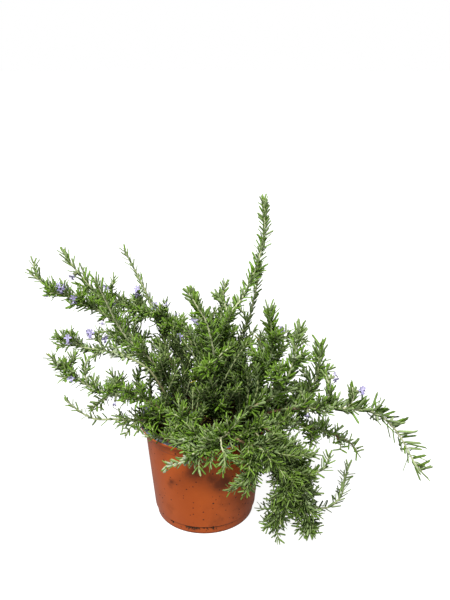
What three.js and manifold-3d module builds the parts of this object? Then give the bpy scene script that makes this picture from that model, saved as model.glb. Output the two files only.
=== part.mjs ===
// A rosemary plant in a round plastic nursery pot: arching, upright and trailing leafy stems with
// violet flower heads. Millimetres, +Z up. The origin is on the floor under the middle of the pot,
// +X is the plant's right and -Y is its front.

import * as THREE from "three";
import { mergeVertices } from "three/addons/utils/BufferGeometryUtils.js";
import Module from "manifold-3d";

const wasm = await Module();
wasm.setup();

// Pot: a 17 cm nursery pot with a turned-out lip
const POT_HEIGHT = 136;
const LIP_RADIUS = 85;
const LIP_WIDTH = 5.5;
const LIP_THICKNESS = 2.6;
const WALL = 1.6;
const BODY_TOP_RADIUS = 78;
const BODY_FOOT_RADIUS = 68;
const RIDGE_HEIGHT = 119;
const RIDGE_STEP = 0.6;
const FOOT_RADIUS = 65;
const FOOT_HEIGHT = 12;
const FOOT_STEP = 1.6;
const STEP_HEIGHT = 0.7;
const BAND_FLARE = 0.8;
const FLOOR_THICKNESS = 2.2;
const DRAIN_HOLES = 6;
const DRAIN_RADIUS = 5;
const DRAIN_CIRCLE = 50;
const DRAIN_SIDES = 6;
const POT_SIDES = 32;

// Soil: fills the pot to a little under the lip
const SOIL_EDGE_HEIGHT = 118;
const SOIL_MIDDLE_HEIGHT = 122;
const FIT_GAP = 0.3;

// Stems: four-sided, as young rosemary stems are, with the foot upright in the soil
const ROOT_BOTTOM = 104;
const ROOT_TOP = 126;
const STEM_SIDES = 4;
const TIP_RADIUS = 1.1;
const SHOOT_RADIUS = 1.35;
const SHOOT_BOW = 0.18;
const BEND_STEP = 24;
const BEND_ROUNDS = 60;
const STEM_GAP = 1.4;
const FLOOR_GAP = 0.7;

// Needles: whorls of four, each whorl turned half a side from the one before
const NEEDLE_LENGTH = 16;
const NEEDLE_ROOT = 1.9;
const NEEDLE_RADIUS = 1.1;
const WHORL_STEP = 19;
const BARE_FOOT = 12;
const BARE_SHOOT = 4;
const SPREAD_TILT = 54;
const TIP_TILT = 24;
const YOUNG_STRETCH = 45;
const TUFT = 11;
const NEEDLE_SHARES = [1, 0.75];
const NEEDLE_TURNS = [0, 17, -17, 34, -34];
const TUFT_SHARES = [1, 0.6, 0.3, 0.1];

// Flowers: a five-lobed bloom on a narrow throat, one to three in a head
const CALYX_LENGTH = 5;
const CALYX_FOOT_RADIUS = 1.1;
const CALYX_RADIUS = 1.7;
const THROAT_LENGTH = 3.8;
const THROAT_RADIUS = 1.5;
const THROAT_RISE = 1.2;
const BLOOM_REACH = 6.2;
const BLOOM_DEPTH = 7.5;
const NOTCH_REACH = 2.3;
const HEART_RADIUS = 1.7;
const HEAD_SPREAD = 50;
const LOBES = [
  { reach: 6.4, lift: 7.2 },
  { reach: 4.6, lift: 6.2 },
  { reach: 5.4, lift: 5.2 },
  { reach: 5.4, lift: 5.2 },
  { reach: 4.6, lift: 6.2 },
];

const TERRACOTTA = 0xa8502c;
const SOIL_BROWN = 0x2b1d14;
const LEAF_GREEN = 0x557f38;
const FLOWER_VIOLET = 0x9a8fd0;

// Each stem: where its foot stands in the soil, its thickness there, the points it passes on its way to
// the tips of its last needles, its side shoots as [share of the stem's length, run in x, y and z], and
// its flower heads as [share of the length, blooms, direction in x, y and z, shoot that carries it].
const STEMS = [
  {
    name: "stem_left_long",
    foot: [-30, 8],
    radius: 2.5,
    path: [
      [-42, 13, 165],
      [-60, 18, 192],
      [-84, 15, 232],
      [-112, 8, 265],
      [-141, 0, 290],
      [-167, -6, 304],
      [-198, -8, 326],
      [-214, -5, 339],
    ],
    shoots: [
      [0.93, [-8, 16, 24]],
      [0.72, [6, -20, 22]],
      [0.82, [-14, -20, 6]],
      [0.52, [-10, -8, -16]],
    ],
    flowers: [
      [0.84, 3, [0.5, -0.7, 0.9]],
      [0.88, 1, [0, -0.6, -1]],
      [0.77, 2, [0, -1, 0.3]],
      [0.62, 1, [0.2, -0.6, -1]],
    ],
  },
  {
    name: "stem_left_forward",
    foot: [-22, 24],
    radius: 2.3,
    path: [
      [-38, 28, 158],
      [-72, 30, 202],
      [-97, 28, 239],
      [-118, 25, 273],
      [-138, 22, 301],
      [-162, 24, 332],
      [-179, 30, 356],
    ],
    shoots: [
      [0.62, [-26, 4, 12]],
      [0.5, [10, -12, 26]],
    ],
    flowers: [
      [0.87, 1, [-0.4, -1, -0.4]],
      [0.66, 1, [0.8, -0.7, 0.5]],
    ],
  },
  {
    name: "stem_left_back",
    foot: [-12, 38],
    radius: 2.2,
    path: [
      [-26, 42, 156],
      [-46, 46, 192],
      [-59, 57, 236],
      [-75, 68, 275],
      [-94, 80, 312],
      [-111, 88, 344],
    ],
    shoots: [[0.45, [22, 14, 26]]],
    flowers: [],
  },
  {
    name: "stem_left_pale",
    foot: [-26, -8],
    radius: 2.2,
    path: [
      [-32, -9, 161],
      [-54, -14, 206],
      [-68, -17, 227],
      [-94, -24, 258],
      [-103, -29, 277],
      [-111, -35, 301],
      [-126, -44, 346],
    ],
    shoots: [[0.5, [-24, -8, 12]]],
    flowers: [],
  },
  {
    name: "stem_left_middle",
    foot: [-40, -18],
    radius: 2.1,
    path: [
      [-47, -23, 174],
      [-56, -27, 198],
      [-68, -30, 218],
      [-85, -32, 231],
      [-103, -34, 240],
      [-121, -36, 246],
      [-145, -38, 250],
      [-164, -39, 257],
      [-180, -40, 267],
    ],
    shoots: [
      [0.84, [-9, -6, 30]],
      [0.7, [-6, 4, 32]],
      [0.6, [-12, 6, 18]],
    ],
    flowers: [
      [0.7, 3, [-0.8, -0.6, 0.2], 2],
      [0.55, 2, [-0.2, -1, 0.3], 1],
      [0.5, 1, [0.8, -0.6, 0.3], 2],
    ],
  },
  {
    name: "stem_left_low",
    foot: [-46, -32],
    radius: 2.1,
    path: [
      [-52, -36, 160],
      [-72, -43, 183],
      [-103, -48, 191],
      [-124, -52, 199],
      [-150, -56, 216],
      [-168, -58, 233],
      [-182, -60, 254],
    ],
    shoots: [
      [0.68, [2, 12, 36]],
      [0.52, [6, 8, 18]],
      [0.4, [-6, -14, 24]],
      [0.8, [10, 8, 30]],
    ],
    flowers: [
      [0.5, 1, [-0.2, -0.4, -1]],
      [0.8, 1, [0.1, -1, 0.2]],
    ],
  },
  {
    name: "stem_left_sparse",
    foot: [-57, -10],
    radius: 1.9,
    path: [
      [-67, -25, 144],
      [-87, -38, 151],
      [-106, -40, 154],
      [-124, -42, 153],
      [-142, -45, 159],
      [-158, -47, 173],
      [-172, -50, 191],
    ],
    shoots: [[0.34, [-16, -18, 12]]],
    flowers: [],
  },
  {
    name: "stem_left_upper",
    foot: [-10, 14],
    radius: 2.3,
    path: [
      [-9, 17, 153],
      [-7, 21, 185],
      [-12, 26, 216],
      [-27, 32, 243],
      [-47, 37, 258],
      [-71, 41, 268],
      [-97, 43, 274],
      [-123, 44, 279],
      [-147, 44, 284],
    ],
    shoots: [
      [0.86, [-2, -8, 38]],
      [0.6, [-8, -14, 26]],
      [0.72, [-6, 6, 34]],
    ],
    flowers: [
      [0.66, 1, [-0.2, -0.6, 0.7], 1],
      [0.66, 2, [0, -0.5, 1], 3],
      [0.67, 2, [0.1, -0.6, 1]],
      [0.62, 1, [0.6, -0.2, 0.8], 2],
      [0.47, 2, [-0.8, -1, -0.2]],
      [0.57, 1, [0.6, 0.1, 1]],
    ],
  },
  {
    name: "stem_tallest",
    foot: [-4, -4],
    radius: 2.6,
    path: [
      [0, 0, 185],
      [14, 5, 235],
      [29, 9, 271],
      [44, 15, 288],
      [61, 22, 319],
      [74, 27, 362],
      [76, 30, 388],
      [74, 30, 424],
    ],
    shoots: [
      [0.48, [-20, 8, 30]],
      [0.62, [22, 10, 30]],
    ],
    flowers: [],
  },
  {
    name: "stem_upright_back",
    foot: [16, 26],
    radius: 2.1,
    path: [
      [30, 30, 166],
      [44, 38, 214],
      [58, 45, 252],
      [67, 52, 290],
      [75, 60, 330],
    ],
    shoots: [
      [0.42, [30, 10, 30]],
      [0.6, [-20, 14, 28]],
    ],
    flowers: [],
  },
  {
    name: "stem_upright_middle",
    foot: [14, 8],
    radius: 2.2,
    path: [
      [22, 11, 180],
      [24, 14, 245],
      [22, 17, 282],
      [29, 20, 320],
    ],
    shoots: [
      [0.62, [-24, 6, 26]],
      [0.66, [14, 8, 30]],
    ],
    flowers: [],
  },
  {
    name: "stem_upright_front",
    foot: [15, -30],
    radius: 2.2,
    path: [
      [17, -36, 175],
      [15, -42, 221],
      [12, -45, 256],
      [3, -46, 292],
      [-10, -46, 313],
      [-18, -46, 329],
    ],
    shoots: [
      [0.38, [-20, -12, 24]],
      [0.5, [22, -8, 26]],
    ],
    flowers: [[0.8, 1, [-1, 0.2, -0.2]]],
  },
  {
    name: "stem_upright_thick",
    foot: [46, 4],
    radius: 2.4,
    path: [
      [60, 1, 164],
      [76, -7, 199],
      [85, -12, 228],
      [85, -16, 258],
      [80, -20, 299],
    ],
    shoots: [
      [0.5, [-26, -8, 28]],
      [0.42, [18, 14, 32]],
    ],
    flowers: [],
  },
  {
    name: "stem_right_near",
    foot: [38, -24],
    radius: 2.2,
    path: [
      [50, -30, 158],
      [72, -34, 172],
      [90, -36, 185],
      [103, -39, 209],
      [111, -40, 238],
      [114, -40, 261],
      [119, -40, 283],
    ],
    shoots: [[0.5, [-14, -10, 30]]],
    flowers: [],
  },
  {
    name: "stem_right_far",
    foot: [52, 18],
    radius: 2.2,
    path: [
      [62, 12, 144],
      [80, 5, 148],
      [108, 2, 153],
      [130, 0, 167],
      [144, 0, 188],
      [147, 0, 215],
      [147, 0, 245],
    ],
    shoots: [[0.6, [-16, 10, 26]]],
    flowers: [],
  },
  {
    name: "stem_right_long",
    foot: [54, -14],
    radius: 2.4,
    path: [
      [70, -20, 148],
      [92, -26, 157],
      [122, -32, 165],
      [152, -38, 169],
      [184, -42, 169],
      [212, -46, 166],
      [232, -50, 152],
      [248, -53, 132],
      [262, -58, 106],
      [279, -61, 86],
    ],
    shoots: [
      [0.4, [-2, 10, 48]],
      [0.5, [2, -6, 38]],
      [0.3, [-6, 10, 30]],
      [0.55, [8, 8, 13]],
    ],
    flowers: [
      [0.74, 2, [1, -0.4, 0.3], 1],
      [0.7, 3, [1, -0.5, 0.4], 2],
      [0.33, 1, [0, -0.9, -0.5]],
    ],
  },
  {
    name: "stem_right_woody",
    foot: [60, 2],
    radius: 2.2,
    path: [
      [74, -2, 143],
      [88, -4, 144],
      [112, -8, 134],
      [139, -5, 122],
      [160, 0, 112],
      [180, 4, 102],
      [196, 6, 92],
      [210, 9, 68],
    ],
    shoots: [
      [0.72, [6, -8, -26]],
      [0.5, [-2, 12, -30]],
    ],
    flowers: [],
  },
  {
    name: "stem_right_hooked",
    foot: [50, -36],
    radius: 1.9,
    path: [
      [64, -42, 143],
      [80, -46, 145],
      [98, -45, 120],
      [118, -44, 90],
      [133, -46, 78],
      [147, -48, 81],
      [155, -50, 92],
      [159, -50, 114],
    ],
    shoots: [],
    flowers: [],
  },
  {
    name: "stem_hanging_front",
    foot: [40, -46],
    radius: 2.0,
    path: [
      [52, -56, 142],
      [64, -66, 144],
      [84, -64, 131],
      [101, -69, 122],
      [113, -76, 103],
      [121, -79, 82],
      [127, -80, 56],
      [130, -78, 30],
      [134, -75, 4],
    ],
    shoots: [
      [0.62, [20, 14, -22]],
      [0.45, [-12, -20, -28]],
      [0.8, [-18, -10, -14]],
    ],
    flowers: [],
  },
  {
    name: "stem_hanging_inner",
    foot: [26, -56],
    radius: 2.0,
    path: [
      [38, -68, 143],
      [52, -82, 143],
      [78, -84, 132],
      [96, -84, 112],
      [100, -84, 88],
      [98, -82, 62],
      [92, -80, 34],
      [86, -76, 8],
    ],
    shoots: [
      [0.48, [10, -18, -44]],
      [0.68, [-14, -2, -26]],
      [0.8, [14, -8, -18]],
    ],
    flowers: [],
  },
  {
    name: "stem_hanging_floor",
    foot: [64, -24],
    radius: 2.0,
    path: [
      [76, -33, 145],
      [92, -40, 136],
      [108, -48, 104],
      [120, -52, 76],
      [130, -38, 42],
      [138, -18, 14],
      [152, -22, 5],
      [174, -10, 4],
      [190, 12, 4],
      [198, 40, 4],
      [207, 70, 4],
      [215, 92, 5],
    ],
    shoots: [
      [0.36, [22, -4, -30]],
      [0.3, [26, 14, -12]],
    ],
    flowers: [],
  },
  {
    name: "stem_front_sprig",
    foot: [28, -42],
    radius: 1.9,
    path: [
      [33, -56, 147],
      [30, -74, 153],
      [16, -88, 149],
      [-1, -95, 144],
      [-20, -98, 131],
      [-37, -98, 123],
      [-50, -98, 122],
    ],
    shoots: [
      [0.42, [18, -12, -26]],
      [0.62, [-10, -18, 6]],
    ],
    flowers: [],
  },
  {
    name: "stem_front_right",
    foot: [50, -50],
    radius: 1.9,
    path: [
      [58, -59, 143],
      [70, -72, 146],
      [73, -85, 134],
      [64, -93, 116],
      [50, -95, 100],
      [40, -95, 90],
    ],
    shoots: [[0.5, [-22, -14, 2]]],
    flowers: [],
  },
  {
    name: "stem_front_short",
    foot: [0, -56],
    radius: 1.8,
    path: [
      [-2, -68, 146],
      [-9, -84, 153],
      [-24, -92, 149],
    ],
    shoots: [[0.5, [22, -18, -4]]],
    flowers: [],
  },
  {
    name: "stem_rim_left",
    foot: [-30, -46],
    radius: 1.8,
    path: [
      [-36, -56, 142],
      [-46, -68, 147],
      [-60, -78, 148],
      [-74, -84, 158],
    ],
    shoots: [[0.4, [14, -22, 6]]],
    flowers: [],
  },
  {
    name: "stem_front_low",
    foot: [-14, -38],
    radius: 1.9,
    path: [
      [-16, -48, 148],
      [-24, -56, 162],
      [-40, -62, 176],
    ],
    shoots: [
      [0.3, [16, -24, 6]],
      [0.5, [10, -16, 20]],
    ],
    flowers: [[0.6, 1, [1, 0.3, 0.5]]],
  },
  {
    name: "stem_back_left",
    foot: [-46, 30],
    radius: 2.2,
    path: [
      [-62, 46, 156],
      [-84, 66, 182],
      [-108, 88, 204],
      [-134, 106, 212],
      [-158, 118, 206],
    ],
    shoots: [
      [0.5, [10, 22, 30]],
      [0.66, [-22, 2, 20]],
      [0.8, [4, 22, -14]],
    ],
    flowers: [[0.72, 2, [-0.2, 0.6, 1]]],
  },
  {
    name: "stem_back_side",
    foot: [-60, 12],
    radius: 2.0,
    path: [
      [-74, 22, 146],
      [-96, 36, 152],
      [-122, 48, 146],
      [-146, 56, 130],
      [-166, 62, 108],
    ],
    shoots: [
      [0.5, [-4, 20, 22]],
      [0.7, [-10, -18, -16]],
    ],
    flowers: [],
  },
  {
    name: "stem_back_middle",
    foot: [-22, 54],
    radius: 2.2,
    path: [
      [-28, 72, 156],
      [-38, 98, 186],
      [-46, 126, 206],
      [-50, 152, 208],
      [-50, 176, 196],
    ],
    shoots: [
      [0.45, [-20, 10, 26]],
      [0.66, [18, 16, 16]],
    ],
    flowers: [[0.62, 3, [0.3, 0.4, 1]]],
  },
  {
    name: "stem_back_upright",
    foot: [4, 46],
    radius: 2.3,
    path: [
      [6, 58, 170],
      [2, 72, 214],
      [-8, 86, 250],
      [-22, 100, 282],
    ],
    shoots: [
      [0.45, [20, 18, 22]],
      [0.62, [-24, 4, 20]],
    ],
    flowers: [],
  },
  {
    name: "stem_back_right",
    foot: [38, 44],
    radius: 2.2,
    path: [
      [52, 60, 156],
      [74, 84, 182],
      [100, 108, 198],
      [128, 126, 196],
      [152, 138, 178],
    ],
    shoots: [
      [0.45, [2, 22, 26]],
      [0.62, [24, -2, 22]],
      [0.78, [4, 20, -18]],
    ],
    flowers: [[0.7, 2, [0.3, 0.4, 1]]],
  },
  {
    name: "stem_back_trailing",
    foot: [14, 62],
    radius: 2.0,
    path: [
      [18, 80, 143],
      [24, 98, 132],
      [32, 108, 98],
      [40, 114, 62],
      [50, 122, 30],
      [60, 134, 6],
    ],
    shoots: [
      [0.4, [24, 14, -16]],
      [0.6, [-22, 10, -24]],
      [0.78, [14, 16, -10]],
    ],
    flowers: [],
  },
  {
    name: "stem_side_right",
    foot: [58, 32],
    radius: 2.1,
    path: [
      [74, 40, 146],
      [100, 50, 152],
      [128, 60, 142],
      [152, 68, 118],
      [168, 74, 88],
    ],
    shoots: [
      [0.42, [8, 12, 28]],
      [0.6, [20, -10, 12]],
      [0.78, [-4, 18, -18]],
    ],
    flowers: [],
  },
];

// One closed solid from a three.js geometry: only positions count, and shared vertices are merged.
function solidOf(geometry) {
  const plain = geometry.clone();
  plain.deleteAttribute("normal");
  plain.deleteAttribute("uv");
  const merged = mergeVertices(plain, 1e-4);
  return new wasm.Manifold(
    new wasm.Mesh({
      numProp: 3,
      vertProperties: merged.attributes.position.array,
      triVerts: new Uint32Array(merged.index.array),
    }),
  );
}

function geometryOf(solid) {
  const mesh = solid.getMesh();
  const geometry = new THREE.BufferGeometry();
  geometry.setAttribute("position", new THREE.BufferAttribute(mesh.vertProperties, 3));
  geometry.setIndex(new THREE.BufferAttribute(mesh.triVerts, 1));
  geometry.computeVertexNormals();
  return geometry;
}

function fused(geometries) {
  return wasm.Manifold.union(geometries.map(solidOf));
}

// Moves a geometry that was made along +Y so that +Y follows a direction and its base is at a point.
function placed(geometry, base, direction) {
  const up = new THREE.Vector3(0, 1, 0);
  geometry.applyQuaternion(new THREE.Quaternion().setFromUnitVectors(up, direction));
  return geometry.translate(base.x, base.y, base.z);
}

function along(a, direction, distance) {
  return a.clone().addScaledVector(direction, distance);
}

// Pot
function wallRadius(z) {
  const share = (z - FOOT_HEIGHT) / (RIDGE_HEIGHT - FOOT_HEIGHT);
  return BODY_FOOT_RADIUS + (BODY_TOP_RADIUS - RIDGE_STEP - BODY_FOOT_RADIUS) * share;
}

function potProfile() {
  const lipBottom = POT_HEIGHT - LIP_THICKNESS;
  return [
    [0, 0],
    [FOOT_RADIUS, 0],
    [BODY_FOOT_RADIUS - FOOT_STEP, FOOT_HEIGHT - STEP_HEIGHT],
    [BODY_FOOT_RADIUS, FOOT_HEIGHT],
    [wallRadius(RIDGE_HEIGHT), RIDGE_HEIGHT],
    [BODY_TOP_RADIUS, RIDGE_HEIGHT + STEP_HEIGHT],
    [BODY_TOP_RADIUS + BAND_FLARE, lipBottom],
    [LIP_RADIUS, lipBottom],
    [LIP_RADIUS, POT_HEIGHT],
    [LIP_RADIUS - LIP_WIDTH, POT_HEIGHT],
    [BODY_TOP_RADIUS + BAND_FLARE - WALL, lipBottom],
    [wallRadius(RIDGE_HEIGHT) - WALL, RIDGE_HEIGHT],
    [BODY_FOOT_RADIUS - FOOT_STEP - WALL, FOOT_HEIGHT],
    [FOOT_RADIUS - WALL, FLOOR_THICKNESS],
    [0, FLOOR_THICKNESS],
  ];
}

function turned(profile) {
  const points = profile.map(([r, z]) => new THREE.Vector2(r, z));
  return new THREE.LatheGeometry(points, POT_SIDES).rotateX(Math.PI / 2);
}

function makePot() {
  const holes = Array.from({ length: DRAIN_HOLES }, (_, i) => {
    const angle = ((i + 0.5) * 2 * Math.PI) / DRAIN_HOLES;
    const hole = new THREE.CylinderGeometry(DRAIN_RADIUS, DRAIN_RADIUS, 4 * FLOOR_THICKNESS, DRAIN_SIDES);
    hole.rotateX(Math.PI / 2);
    return hole.translate(DRAIN_CIRCLE * Math.cos(angle), DRAIN_CIRCLE * Math.sin(angle), 0);
  });
  return solidOf(turned(potProfile())).subtract(fused(holes));
}

// Soil
function makeSoil(stems) {
  const top = wallRadius(SOIL_EDGE_HEIGHT) - WALL - FIT_GAP;
  const profile = [
    [0, FLOOR_THICKNESS + FIT_GAP],
    [FOOT_RADIUS - WALL - FIT_GAP, FLOOR_THICKNESS + FIT_GAP],
    [BODY_FOOT_RADIUS - FOOT_STEP - WALL - FIT_GAP, FOOT_HEIGHT],
    [top, SOIL_EDGE_HEIGHT],
    [0, SOIL_MIDDLE_HEIGHT],
  ];
  const depth = ROOT_TOP - ROOT_BOTTOM + FIT_GAP;
  const holes = stems.map((stem) => {
    const radius = stem.radius + FIT_GAP / Math.cos(Math.PI / STEM_SIDES);
    const hole = new THREE.CylinderGeometry(radius, radius, depth, STEM_SIDES);
    hole.rotateX(Math.PI / 2);
    return hole.translate(...stem.foot, ROOT_TOP - depth / 2);
  });
  return solidOf(turned(profile)).subtract(fused(holes));
}

function soilHeight(r) {
  return THREE.MathUtils.lerp(SOIL_MIDDLE_HEIGHT, SOIL_EDGE_HEIGHT, Math.min(1, r / BODY_TOP_RADIUS));
}

// The shortest gap vector between two straight pieces a-b and c-d, and where on each it is
function closest(a, b, c, d) {
  const u = b.clone().sub(a);
  const v = d.clone().sub(c);
  const w = a.clone().sub(c);
  const uu = u.dot(u);
  const uv = u.dot(v);
  const vv = v.dot(v);
  const uw = u.dot(w);
  const vw = v.dot(w);
  const det = uu * vv - uv * uv;
  const { clamp } = THREE.MathUtils;
  let s = det > 1e-9 ? clamp((uv * vw - vv * uw) / det, 0, 1) : 0.5;
  const t = clamp((uv * s + vw) / vv, 0, 1);
  s = clamp((uv * t - uw) / uu, 0, 1);
  const gap = along(a, u, s).sub(along(c, v, t));
  return { s, t, gap };
}

// The pot's wall and lip as round-ended bars in radius and height
const LIP_MIDDLE = POT_HEIGHT - LIP_THICKNESS / 2;
const POT_BARS = [
  { from: [BODY_FOOT_RADIUS - WALL, 0], to: [BODY_TOP_RADIUS, LIP_MIDDLE], radius: WALL },
  { from: [LIP_RADIUS - LIP_WIDTH, LIP_MIDDLE], to: [LIP_RADIUS - WALL, LIP_MIDDLE], radius: WALL },
];

// The move that takes a point a distance off the pot's wall and lip, or null where it is clear
function potPush(point, distance) {
  const r = Math.hypot(point.x, point.y);
  for (const bar of POT_BARS) {
    const [r0, z0] = bar.from;
    const [r1, z1] = bar.to;
    const share = ((r - r0) * (r1 - r0) + (point.z - z0) * (z1 - z0)) / ((r1 - r0) ** 2 + (z1 - z0) ** 2);
    const t = THREE.MathUtils.clamp(share, 0, 1);
    const dr = r - (r0 + t * (r1 - r0));
    const dz = point.z - (z0 + t * (z1 - z0));
    const away = Math.hypot(dr, dz);
    const lack = bar.radius + distance - away;
    if (lack > 0) {
      const outward = new THREE.Vector3(point.x / r, point.y / r, 0).multiplyScalar(dr / away);
      return outward.setZ(dz / away).multiplyScalar(lack);
    }
  }
  return null;
}

// Stem paths: each plant is one stem and its side shoots, as rows of points that are bent clear
function curveOf(points) {
  return new THREE.CatmullRomCurve3(points, false, "catmullrom", 0.5);
}

function spaced(points, step) {
  const curve = curveOf(points);
  return curve.getSpacedPoints(Math.max(2, Math.round(curve.getLength() / step)));
}

function growPlant(stem) {
  const foot = new THREE.Vector3(...stem.foot, ROOT_TOP);
  const points = spaced([foot, ...stem.path.map((p) => new THREE.Vector3(...p))], BEND_STEP);
  const main = { points, radius: stem.radius, isStem: true };
  const shoots = stem.shoots.map(([share, run]) => {
    const { point, direction } = pointAlong(points, share);
    const tip = point.clone().add(new THREE.Vector3(...run));
    const length = point.distanceTo(tip);
    const middle = along(point.clone().lerp(tip, 0.45), direction, SHOOT_BOW * length);
    return { points: spaced([point, middle, tip], BEND_STEP / 2), radius: SHOOT_RADIUS, share };
  });
  return { ...stem, branches: [main, ...shoots] };
}

// The point at a share of a path's length, with the path's direction there
function pointAlong(points, share) {
  const curve = curveOf(points);
  return { point: curve.getPointAt(share), direction: curve.getTangentAt(share) };
}

// Bends stems and shoots clear of each other, of the pot and of the floor, a little in each round
function bendClear(plants) {
  for (let round = 0; round < BEND_ROUNDS; round++) {
    for (let p = 0; p < plants.length; p++) {
      for (let q = p + 1; q < plants.length; q++) {
        for (const one of plants[p].branches) {
          for (const other of plants[q].branches) pushApart(one, other);
        }
      }
    }
    for (const plant of plants) {
      plant.branches.forEach(keepOff);
      seatShoots(plant);
    }
  }
}

// The first point of a stem or shoot is its seat, and stays
function push(branch, i, vector) {
  if (i > 0) branch.points[i].add(vector);
}

function pushApart(one, other) {
  const need = one.radius + other.radius + STEM_GAP;
  for (let i = 1; i < one.points.length; i++) {
    for (let j = 1; j < other.points.length; j++) {
      if (one.points[i].distanceTo(other.points[j]) > need + 2.2 * BEND_STEP) continue;
      const { s, t, gap } = closest(one.points[i - 1], one.points[i], other.points[j - 1], other.points[j]);
      const lack = need - gap.length();
      if (lack <= 0) continue;
      gap.setLength(lack * 0.5);
      push(one, i - 1, gap.clone().multiplyScalar(1 - s));
      push(one, i, gap.clone().multiplyScalar(s));
      push(other, j - 1, gap.clone().multiplyScalar(t - 1));
      push(other, j, gap.clone().multiplyScalar(-t));
    }
  }
}

function keepOff(branch) {
  for (let i = 1; i < branch.points.length; i++) {
    for (const part of [0.25, 0.5, 0.75, 1]) {
      const point = branch.points[i - 1].clone().lerp(branch.points[i], part);
      const away = potPush(point, branch.radius + STEM_GAP);
      if (!away) continue;
      push(branch, i, away);
      push(branch, i - 1, away);
    }
    branch.points[i].z = Math.max(branch.points[i].z, branch.radius + FLOOR_GAP);
  }
}

function seatShoots(plant) {
  const [stem, ...shoots] = plant.branches;
  for (const shoot of shoots) {
    const shift = pointAlong(stem.points, shoot.share).point.sub(shoot.points[0]);
    for (const point of shoot.points) point.add(shift);
  }
}

// Rings along a bent path: pairs of rings hold a whorl of needles, and the last ring is the tip
function setRings(branch) {
  const curve = curveOf(branch.points);
  const full = curve.getLength();
  const length = full - TUFT;
  const bare = branch.isStem ? BARE_FOOT : BARE_SHOOT;
  const whorls = Math.max(1, Math.round((length - bare) / WHORL_STEP));
  const step = (length - bare) / whorls;
  const stops = [{ at: 0, whorl: -1 }];
  for (let k = 0; k < whorls; k++) {
    const at = bare + (k + 0.5) * step;
    stops.push({ at, whorl: k }, { at: Math.min(at + NEEDLE_ROOT, length - 1), whorl: k });
  }
  stops.push({ at: length, whorl: whorls });
  branch.length = length;
  branch.rings = stops.map(({ at, whorl }) => {
    const share = at / full;
    const radius = THREE.MathUtils.lerp(branch.radius, TIP_RADIUS, at / length);
    const turn = (Math.PI / STEM_SIDES) * (whorl + 1);
    const direction = at === 0 && branch.isStem ? new THREE.Vector3(0, 0, 1) : curve.getTangentAt(share);
    return { centre: curve.getPointAt(share), direction, radius, turn, at, whorl };
  });
  if (branch.isStem) {
    const root = branch.rings[0].centre.clone().setZ(ROOT_BOTTOM);
    branch.rings.unshift({ ...branch.rings[0], centre: root });
  }
  setSides(branch.rings);
}

// A side direction for each ring that doesn't twist from ring to ring
function setSides(rings) {
  const side = new THREE.Vector3(1, 0, 0);
  if (Math.abs(rings[0].direction.x) > 0.9) side.set(0, 1, 0);
  for (const ring of rings) {
    side.addScaledVector(ring.direction, -side.dot(ring.direction)).normalize();
    ring.side = side.clone();
  }
}

function ringCorner(ring, j) {
  const turn = ring.turn + (j * 2 * Math.PI) / STEM_SIDES;
  return along(ring.centre, ring.side.clone().applyAxisAngle(ring.direction, turn), ring.radius);
}

// A needle for one side of a whorl, turned or shortened until it clears everything else, or null
function growNeedle(ring, j, branch, bars) {
  const young = Math.min(1, (branch.length - ring.at) / YOUNG_STRETCH);
  const tilt = THREE.MathUtils.degToRad(THREE.MathUtils.lerp(TIP_TILT, SPREAD_TILT, young));
  const middle = ring.turn + ((j + 0.5) * 2 * Math.PI) / STEM_SIDES;
  const root = along(ring.centre, ring.direction, NEEDLE_ROOT / 2);
  for (const share of NEEDLE_SHARES) {
    for (const turn of NEEDLE_TURNS) {
      const angle = middle + THREE.MathUtils.degToRad(turn);
      const outward = ring.side.clone().applyAxisAngle(ring.direction, angle);
      const lean = along(ring.direction.clone().multiplyScalar(Math.cos(tilt)), outward, Math.sin(tilt));
      const tip = along(root, lean, share * NEEDLE_LENGTH);
      const bar = { from: branch, a: root, b: tip, radius: NEEDLE_RADIUS };
      if (isClear(bar, bars)) return bar;
    }
  }
  return null;
}

// The last needle goes on in the stem's own direction, as long as there is room for
function growTip(ring, branch, bars) {
  const bar = { from: branch, a: ring.centre, radius: ring.radius };
  for (const share of TUFT_SHARES) {
    bar.b = along(ring.centre, ring.direction, share * TUFT);
    if (isClear(bar, bars)) break;
  }
  return bar;
}

function isClear(bar, bars) {
  for (const part of [0.3, 0.5, 0.7, 0.85, 1]) {
    const point = bar.a.clone().lerp(bar.b, part);
    const r = Math.hypot(point.x, point.y);
    if (point.z < bar.radius + FLOOR_GAP) return false;
    if (potPush(point, bar.radius + FIT_GAP)) return false;
    if (r < BODY_TOP_RADIUS && point.z < soilHeight(r) + bar.radius + FIT_GAP) return false;
  }
  for (const other of bars) {
    if (other.from === bar.from) continue;
    const need = bar.radius + other.radius + FIT_GAP;
    if (other.a.distanceTo(bar.a) > need + WHORL_STEP + BEND_STEP + NEEDLE_LENGTH) continue;
    if (closest(bar.a, bar.b, other.a, other.b).gap.length() < need) return false;
  }
  return true;
}

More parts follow.
